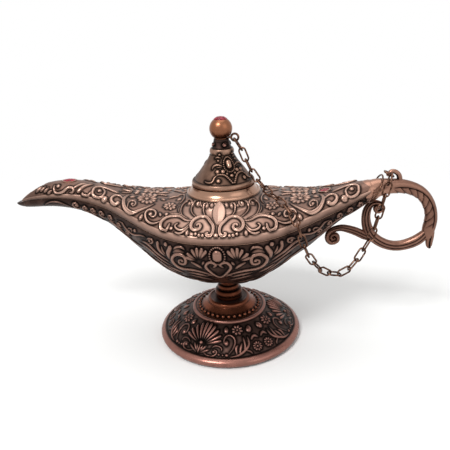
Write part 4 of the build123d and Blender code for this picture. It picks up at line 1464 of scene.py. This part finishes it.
@dataclass
class Lid:
    """Lift-off lid: smooth lip, concave cone with relief, ring and neck under the ball, red stone on top.

    Attributes:
        skin: lip, cone and ring.
        neck: neck under the ball.
        ball: the ball.
        stone: the stone on top.
        cone: surface that the cone's ornament is laid out on.
        boldness: factor on the height of the ornament.
        repeats: mirrored units round the cone.
        first: angle of the first unit.
        eyes: ringed beads round the neck.
    """

    skin: TurnedSkin = field(default_factory=lambda: TurnedSkin(
        "lid_relief", ((13.9, 77.75), (13.9, 80.0), (13.0, 80.05), (7.4, 87.8), (5.2, 91.7), (4.8, 94.3)),
        (14, 4, 64, 42, 12), (0.4, 0.0, 0.12, -0.1, 0.4), (0.8, 0.0, 0.1, 0.0, 0.72),
        (0.8, 0.4, 1.0, 0.0, 1.0, 0.6), 560, 1.6))
    neck: TurnedSkin = field(default_factory=lambda: TurnedSkin(
        "knob_neck_relief", ((4.7, 94.1), (4.35, 94.4), (3.5, 97.1), (3.2, 98.5)), (3, 22, 8),
        (0.0, -0.1, 0.0), (0.0, 0.05, 0.0), (1.0, 0.8, 0.6, 1.0), 180, 1.6))
    ball: TurnedSkin = field(default_factory=ball_skin)
    stone: TurnedSkin = field(default_factory=lambda: TurnedSkin(
        "knob_stone", ((3.05, 106.3), (2.9, 107.0), (1.7, 107.8), (0.02, 108.05)), (3, 4, 4), (0.0,) * 3,
        (0.0,) * 3, (0.0,) * 4, 24))
    cone: Chart = field(default_factory=lambda: turned_chart(
        bowed_line(((13.0, 80.05), (7.4, 87.8), (4.4, 93.6)), (56, 40), (0.12, -0.1))))
    boldness: float = 1.3
    repeats: int = 2
    first: float = -61.5
    eyes: int = 4

    def build(self, material: Material, neck: Material, ball: Material, glass: Material) -> None:
        """Raises the four half units on the cone and the ringed beads on the neck, and sets ball and stone.

        Args:
            material: finish of the cast cone.
            neck: finish of the neck under the ball.
            ball: finish of the polished ball.
            glass: finish of the stone.
        """
        relief = self.skin.relief(self.boldness)
        for unit in range(self.repeats):
            plain, mirrored = self.cone.both_ways(self.first + unit * 360.0 / self.repeats)
            relief.lay(LID_UNIT, (plain, mirrored))
            relief.lay(LID_AXIS, (plain,))
        self.skin.finish(relief, Body.LID, material)
        collar = self.neck.relief(self.boldness)
        spots = [(self.first + 360.0 * n / self.eyes, 0.5) for n in range(self.eyes)]
        collar.lay([Curl(spot, 1.3, 0.45, 0.4, turns=1.0) for spot in spots], (self.neck.chart(1),))
        collar.lay([Bead(spot, 0.7, 0.5) for spot in spots], (self.neck.chart(1),))
        self.neck.finish(collar, Body.LID, neck)
        self.ball.finish(self.ball.relief(), Body.LID, ball)
        self.stone.finish(self.stone.relief(), Body.LID, glass, Slot.GLASS, "knob_gem")


@dataclass(frozen=True)
class Sweep:
    """Oval section carried along a path in the upright middle plane, with round closed ends.

    Attributes:
        name: name of the piece.
        node: the frame's solid that it stands for.
        path: x and z of the centre line, half thickness in the plane and across it, one set per row.
        relief: height for grids of run length and place across, added outwards.
        steps: samples from one row of the path to the next.
        columns: points round the section.
        crest_and_highlight: heights between which the metal goes from film to rubbed crest.
        crease_and_shade: heights between which the hollows go from black to film.
        depth: share of the height that the surface moves; the rest only marks the finish.
        cap_rows: rows of each round end.
    """

    name: str
    node: str
    path: Table
    relief: HeightAt
    steps: int = 16
    columns: int = 72
    crest_and_highlight: Point = (-0.3, 0.05)
    crease_and_shade: Point = (-0.4, -0.08)
    depth: float = 0.5
    cap_rows: int = 6

    def grid(self) -> tuple[Array, Array]:
        """Ovals across the path's spline, moved outwards by the relief, with round caps.

        Returns:
            Grid of points, whose first and last rows are the poles, and the height at each.
        """
        path = smooth_line(self.path, self.steps)
        line, half, deep = path[:, :2], path[:, 2], path[:, 3]
        run = np.concatenate([[0.0], np.cumsum(np.linalg.norm(np.diff(line, axis=0), axis=1))])
        along = np.gradient(line, axis=0)
        along /= np.linalg.norm(along, axis=1, keepdims=True)
        cap = np.linspace(0.0, np.pi / 2, self.cap_rows + 1)[:-1]
        scale = np.concatenate([np.sin(cap), np.ones(len(line)), np.sin(cap)[::-1]])
        push = np.concatenate([-np.cos(cap) * half[0], np.zeros(len(line)), np.cos(cap)[::-1] * half[-1]])
        run, half, deep = (np.pad(values, self.cap_rows, mode="edge") for values in (run, half, deep))
        grow = [(self.cap_rows, self.cap_rows), (0, 0)]
        line, along = np.pad(line, grow, mode="edge"), np.pad(along, grow, mode="edge")
        half, deep = half * scale, deep * scale
        centre, side = line + push[:, None] * along, np.stack([-along[:, 1], along[:, 0]], axis=1)
        across, out = np.cos(circle(self.columns)), np.sin(circle(self.columns))
        rise = self.relief(run[:, None], half[:, None] * across) * scale[:, None]
        wide, thick = (half[:, None] + self.depth * rise) * across, (deep[:, None] + self.depth * rise) * out
        x, z = (centre[:, k, None] + side[:, k, None] * wide for k in (0, 1))
        return np.stack([x, -thick, z], axis=-1), rise

    def build(self, material: Material, wear_and_highlight: Callable[[Array], Array | float]) -> None:
        """Makes the piece.

        Args:
            material: its finish.
            wear_and_highlight: how far crests are rubbed bright, for a grid of points; on the handle it is
                painted highlight and shade by place.
        """
        points, rise = self.grid()
        marks = {"crest_and_highlight": wear_and_highlight(points) * smooth_step(rise, *self.crest_and_highlight),
                 "crease_and_shade": 1 - smooth_step(rise, *self.crease_and_shade)}
        settle(grid_mesh(self.name, points, marks, wrap=True), Body.BASE, material, self.node)


def flutes(place: float, width: float, deep: float, gone: Point) -> HeightAt:
    """Two lengthwise grooves on each face of a sweep.

    Args:
        place: distance of the grooves from the middle of the face.
        width: their width.
        deep: their depth.
        gone: run lengths between which they fade out.

    Returns:
        Height for run length and place across.
    """
    def height(run: Array, across: Array) -> Array:
        """A bell-shaped groove on either side of the middle."""
        pair = bell(across - place, width) + bell(across + place, width)
        return -deep * pair * (1 - smooth_step(run, *gone))

    return height


@dataclass
class Handle:
    """Ring handle: tail tube, feathered arc, grooved limb with a snail curl, leaf tip, hook and branch.

    Attributes:
        arc: x, z, half thickness in the plane and across it, from the tail to the tip.
        limb: the same for the lower limb, from the arc round to the inner curl.
        tip: the same for the tip.
        hook: the same for the hook on top that holds the chain's ring.
        scroll: the same for the branch to the keel, which ends in a closed spiral volute.
        feather_mm: pitch of the feather cuts.
        feather_slant: how far a cut runs along the arc for each millimetre across it.
        feather_deep: height of the sawtooth.
        feather_start, feather_end: run lengths between which the feathers begin and end.
        feather_edge: run lengths, and the places across of the inner band's edge there.
        groove: depth and width of the groove along that edge.
        scroll_worn: how far the branch is rubbed bright.
    """

    arc: Table = (
        (60.5, 71.7, 4.6, 4.7), (63.4, 72.6, 5.0, 5.6), (65.2, 73.15, 5.05, 5.62), (67.4, 73.9, 4.6, 4.9),
        (69.3, 74.6, 4.2, 4.2), (73.1, 75.2, 3.6, 3.7), (78.1, 75.3, 3.3, 3.0), (82.5, 74.6, 3.05, 2.6),
        (86.0, 73.2, 2.95, 2.4), (89.2, 70.8, 2.8, 2.3), (91.8, 66.9, 2.75, 2.3), (93.2, 62.6, 2.75, 2.3),
        (93.4, 58.4, 2.9, 2.3), (92.9, 54.9, 2.9, 2.2), (92.7, 51.8, 2.2, 1.9))
    limb: Table = (
        (92.4, 54.0, 1.6, 1.7), (89.7, 50.5, 2.5, 2.1), (86.9, 48.5, 2.6, 2.2), (83.4, 47.1, 2.5, 2.2),
        (79.3, 46.4, 2.4, 2.2), (75.1, 47.0, 2.35, 2.2), (70.8, 49.1, 2.4, 2.2), (67.6, 52.0, 2.4, 2.2),
        (65.7, 55.8, 2.35, 2.1), (64.9, 60.0, 2.1, 2.0), (65.2, 63.9, 1.9, 1.9), (66.7, 66.7, 1.5, 1.8),
        (69.2, 67.6, 1.2, 1.7), (71.2, 66.9, 1.05, 1.7), (72.0, 65.2, 1.0, 1.75), (71.3, 63.7, 0.95, 1.8),
        (69.8, 63.3, 0.9, 1.85), (68.7, 64.2, 0.85, 1.9), (68.9, 65.6, 0.8, 1.95), (69.9, 65.9, 0.7, 2.0),
        (70.4, 65.1, 0.6, 2.05))
    tip: Table = (
        (94.2, 56.5, 1.3, 1.6), (94.2, 53.0, 1.5, 1.6), (93.8, 49.8, 1.75, 1.5), (93.8, 47.3, 1.5, 1.2),
        (94.1, 45.8, 0.8, 0.7))
    hook: Table = (
        (78.3, 76.0, 1.4, 1.35), (78.4, 78.4, 1.3, 1.25), (77.7, 80.6, 1.2, 1.15), (76.0, 81.9, 1.1, 1.05),
        (74.4, 81.8, 0.95, 1.0), (73.4, 80.6, 0.85, 0.95))
    scroll: Table = (
        (67.4, 50.6, 1.6, 1.6), (64.6, 51.6, 2.0, 1.7), (61.0, 53.4, 2.0, 1.7), (56.6, 54.9, 1.8, 1.7),
        (52.7, 55.2, 1.5, 1.6), (49.4, 53.9, 1.35, 1.6), (47.9, 51.6, 1.25, 1.6), (48.1, 49.2, 1.2, 1.65),
        (49.9, 48.0, 1.15, 1.7), (51.9, 48.7, 1.1, 1.7), (52.6, 50.5, 1.0, 1.75), (51.8, 52.0, 0.95, 1.8),
        (50.2, 52.2, 0.9, 1.85), (49.4, 51.0, 0.85, 1.9), (50.1, 50.0, 0.8, 1.95), (51.0, 50.5, 0.7, 2.0))
    feather_mm: float = 3.7
    feather_slant: float = 1.1
    feather_deep: float = 0.55
    feather_start: Point = (14.5, 18.0)
    feather_end: Point = (45.0, 47.5)
    feather_edge: Table = ((17.0, 33.0), (0.0, 1.05))
    groove: Point = (0.5, 0.3)
    scroll_worn: float = 0.25

    def feather(self, run: Array, across: Array) -> Array:
        """Groove between outer tube and inner band, and sawtooth cuts that run obliquely across the band.

        Args:
            run: length along the arc.
            across: place across it.

        Returns:
            The height.
        """
        zone = smooth_step(run, *self.feather_start) * (1 - smooth_step(run, *self.feather_end))
        edge = np.interp(run, *self.feather_edge)
        groove = -self.groove[0] * bell(across - edge, self.groove[1])
        tooth = np.mod(run + self.feather_slant * across, self.feather_mm) / self.feather_mm
        cut = self.feather_deep * (tooth**0.5 - 0.75) * smooth_step(edge - across, 0.1, 0.5)
        return zone * (groove + cut)

    def keel(self, run: Array, across: Array) -> Array:
        """A leaf-shaped hollow down the middle of the tip."""
        return -0.6 * bell(across, 0.4) * smooth_step(run, 3.5, 6.0)

    def hollow(self, run: Array, across: Array) -> Array:
        """The hook's inner side lies a little deeper and stays dark."""
        return -0.35 * smooth_step(across, 0.1, 0.8) + 0 * run

    def wear_and_highlight(self, points: Array) -> Array:
        """Painted highlight and shade on the crests: full on top near the tail, less than half far out and
        low down.
        """
        far, low = smooth_step(points[..., 0], 70.0, 82.0), 1 - smooth_step(points[..., 2], 67.5, 69.5)
        return 1 - 0.58 * np.maximum(far, low)

    def build(self, material: Material) -> None:
        """Three sweeps stand for the handle, one for the hook and one for the branch.

        Args:
            material: its finish.
        """
        for sweep in (Sweep("handle_arc", "handle", self.arc, self.feather),
                      Sweep("handle_limb", "handle", self.limb, flutes(0.7, 0.3, 0.45, (52.0, 58.0))),
                      Sweep("handle_tip", "handle", self.tip, self.keel),
                      Sweep("chain_hook_curl", "chain_hook", self.hook, self.hollow)):
            sweep.build(material, self.wear_and_highlight)
        grooves = flutes(0.6, 0.28, 0.4, (16.0, 21.0))
        branch = Sweep("handle_scroll_volute", "handle_scroll", self.scroll, grooves, 14, 56, (-0.25, 0.0),
                       (-0.38, -0.06))
        branch.build(material, lambda points: self.scroll_worn)


@dataclass(frozen=True)
class Stone:
    """Low oval cabochon set nearly flush in the metal.

    Attributes:
        node: the frame's solid that it stands for.
        seat: x and z of the middle of its girdle.
        radii: half length and half width.
        rise: height of its top above the girdle.
        tilt: turn about the y axis in degrees.
        wall: depth of the wall below the girdle.
        rows: grid rows of the dome.
        columns: points round it.
    """

    node: str
    seat: Point
    radii: Point
    rise: float
    tilt: float
    wall: float = 0.9
    rows: int = 12
    columns: int = 40

    def build(self, material: Material) -> None:
        """Half of an ellipsoid above the girdle and a straight wall below it, turned by the tilt.

        Args:
            material: its finish.
        """
        share = np.append(np.linspace(0.004, 1.0, self.rows), 1.0)[:, None]
        wall = np.append(np.zeros(self.rows), self.wall)[:, None]
        turn = circle(self.columns)
        along, across = self.radii[0] * share * np.cos(turn), self.radii[1] * share * np.sin(turn)
        up = self.rise * np.sqrt(1 - share**2) - wall + 0 * turn
        cos, sin = math.cos(math.radians(self.tilt)), math.sin(math.radians(self.tilt))
        x, z = self.seat[0] + cos * along + sin * up, self.seat[1] - sin * along + cos * up
        piece = grid_mesh(self.node.replace("gem", "stone"), np.stack([x, across, z], axis=-1), {}, wrap=True)
        settle(piece, Body.BASE, material, self.node)


STONES = (Stone("spout_gem", (-74.0, 79.3), (3.5, 2.5), 1.2, 0.0),
          Stone("tail_gem", (46.0, 73.25), (2.5, 2.5), 0.9, -11.0))


@dataclass(frozen=True)
class SoftLamp:
    """Square area lamp: name, place in metres, side in metres and power in watts."""

    name: str
    spot: Triple
    size: float
    power: float


@dataclass
class Studio:
    """Camera at the photograph's place, pale floor and soft light.

    Attributes:
        eye: camera place in millimetres.
        right: camera's right direction.
        up: camera's up direction.
        focal: focal length in pixels of the photograph.
        sensor_mm: width of the camera's sensor.
        clip: nearest and farthest distance that the camera sees, in metres.
        lamps: the lamps.
        aim: point in metres that the lamps look at.
        sky: strength of the white surroundings for scattered light, and where they are seen or reflected.
        floor_mm: distance from the lamp at which the floor starts to fade and has faded into the white.
        floor_drop: depth of the floor below the foot in millimetres.
    """

    eye: Triple = (29.58, -224.66, 144.05)
    right: Triple = (0.9924, 0.1139, -0.0456)
    up: Triple = (0.0012, 0.3622, 0.9321)
    focal: float = 510.54
    sensor_mm: float = 36.0
    clip: Point = (0.01, 20.0)
    lamps: tuple[SoftLamp, ...] = (
        SoftLamp("key", (-0.5, -0.9, 1.3), 0.5, 16.0), SoftLamp("fill", (1.1, -0.8, 0.8), 1.0, 3.0),
        SoftLamp("top", (0.0, 0.3, 1.6), 1.2, 8.0))
    aim: Triple = (0.0, 0.0, 0.05)
    sky: Point = (0.45, 1.0)
    floor_mm: Point = (110.0, 420.0)
    floor_drop: float = 0.02

    def stand(self, name: str, data: bpy.types.ID, place: Array, right: Array, back: Array) -> Object:
        """Stands a camera or lamp up.

        Args:
            name: name of the object.
            data: the camera or lamp.
            place: where it stands, in metres.
            right: its right direction.
            back: direction that points back from what it looks at, square to the right.

        Returns:
            The linked object.
        """
        right, back = right / np.linalg.norm(right), back / np.linalg.norm(back)
        matrix = np.eye(4)
        matrix[:3, :3] = np.stack([right, np.cross(back, right), back], axis=1)
        matrix[:3, 3] = place
        thing = bpy.data.objects.new(name, data)
        thing.matrix_world = Matrix(matrix)
        bpy.context.scene.collection.objects.link(thing)
        return thing

    def place_camera(self) -> None:
        """Camera axes are right, up and their cross product, which points back from the view."""
        data = bpy.data.cameras.new("photo_view")
        data.sensor_width = self.sensor_mm
        data.lens = self.sensor_mm * self.focal / IMAGE_WIDTH
        data.clip_start, data.clip_end = self.clip
        right = np.array(self.right)
        camera = self.stand("photo_view", data, np.array(self.eye) * MM, right, np.cross(right, self.up))
        bpy.context.scene.camera = camera

    def place_light(self) -> None:
        """Three broad soft lamps and an even sky; white behind, also for what the metal reflects."""
        bpy.context.scene.view_settings.view_transform = "Standard"
        for lamp in self.lamps:
            data = bpy.data.lights.new(lamp.name, "AREA")
            data.energy, data.size = lamp.power, lamp.size
            back = np.subtract(lamp.spot, self.aim)
            self.stand(lamp.name, data, np.array(lamp.spot), np.cross((0.0, 0.0, 1.0), back), back)
        world = bpy.data.worlds.new("studio")
        bpy.context.scene.world = world
        world.use_nodes = True
        tree = world.node_tree
        tree.nodes.clear()
        rays = add_node(tree, "ShaderNodeLightPath").outputs
        seen = rays["Is Camera Ray"]
        for kind in ("Is Glossy Ray", "Is Transmission Ray"):
            seen = add_node(tree, "ShaderNodeMath", {0: seen, 1: rays[kind]}, operation="MAXIMUM").outputs[0]
        strength = add_node(tree, "ShaderNodeMapRange", {
            "Value": seen, "To Min": self.sky[0], "To Max": self.sky[1]})
        sky = add_node(tree, "ShaderNodeBackground", {
            "Color": linear("#FFFFFF"), "Strength": strength.outputs["Result"]})
        add_node(tree, "ShaderNodeOutputWorld", {"Surface": sky.outputs["Background"]})

    def lay_floor(self) -> None:
        """White paper floor with the lamp's shadow on it, fading out with distance into the white behind."""
        near, far = self.floor_mm
        span = np.linspace(-far, far, 13)
        x, y = np.meshgrid(span, span)
        points = np.stack([x, y, 0 * x - self.floor_drop], axis=-1)
        floor = grid_mesh("floor", points, {}, facing=np.array([0.0, 0.0, 1.0]))
        material, tree, place = blank_material("matt_white_paper")
        away = add_node(tree, "ShaderNodeVectorMath", {0: place}, operation="LENGTH")
        fade = add_node(tree, "ShaderNodeMapRange", {
            "Value": away.outputs["Value"], "From Min": near * MM, "From Max": far * MM},
            interpolation_type="SMOOTHSTEP")
        paper = add_node(tree, "ShaderNodeBsdfDiffuse", {"Color": linear("#FAFAF9")})
        clear = add_node(tree, "ShaderNodeBsdfTransparent")
        mixed = add_node(tree, "ShaderNodeMixShader", {
            0: fade.outputs["Result"], 1: paper.outputs["BSDF"], 2: clear.outputs["BSDF"]})
        add_node(tree, "ShaderNodeOutputMaterial", {"Surface": mixed.outputs["Shader"]})
        floor.data.materials.append(material)


def main() -> None:
    """Builds the lamp's sub-assemblies in order."""
    shoulder, bowl, foot, lid = (
        copper.make() for copper in (SHOULDER_COPPER, BOWL_COPPER, FOOT_COPPER, LID_COPPER))
    smooth, knob, handle, stem = (
        copper.make() for copper in (SMOOTH_COPPER, KNOB_COPPER, HANDLE_COPPER, STEM_COPPER))
    wire, glass, steel = WIRE.make(), RED_GLASS.make(), STEEL.make()

    studio = Studio()
    studio.place_camera()
    studio.place_light()
    studio.lay_floor()
    solids = {"stem": stem, "foot": foot, "lower_shell": bowl, "chain_hook": handle, "lid": lid,
              "lid_knob": knob, "tail_loop": wire, "hook_ring": wire, "lid_eyelet": wire}
    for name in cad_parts:
        if name.startswith("chain_link"):
            dress_node(name, wire)
        elif name.endswith("_gem"):
            dress_node(name, glass)
        elif name.startswith("tie_"):
            dress_node(name, steel)
        else:
            dress_node(name, solids.get(name, smooth))
    body = LampBody()
    body.build_shoulder(shoulder)
    body.build_leaf(shoulder)
    body.build_collar_edge(smooth)
    body.build_bowl(bowl)
    Foot().build(foot, stem)
    Stem().build(stem)
    Lid().build(lid, foot, knob, glass)
    for stone in STONES:
        stone.build(glass)
    Handle().build(handle)


if __name__ == "__main__":
    main()
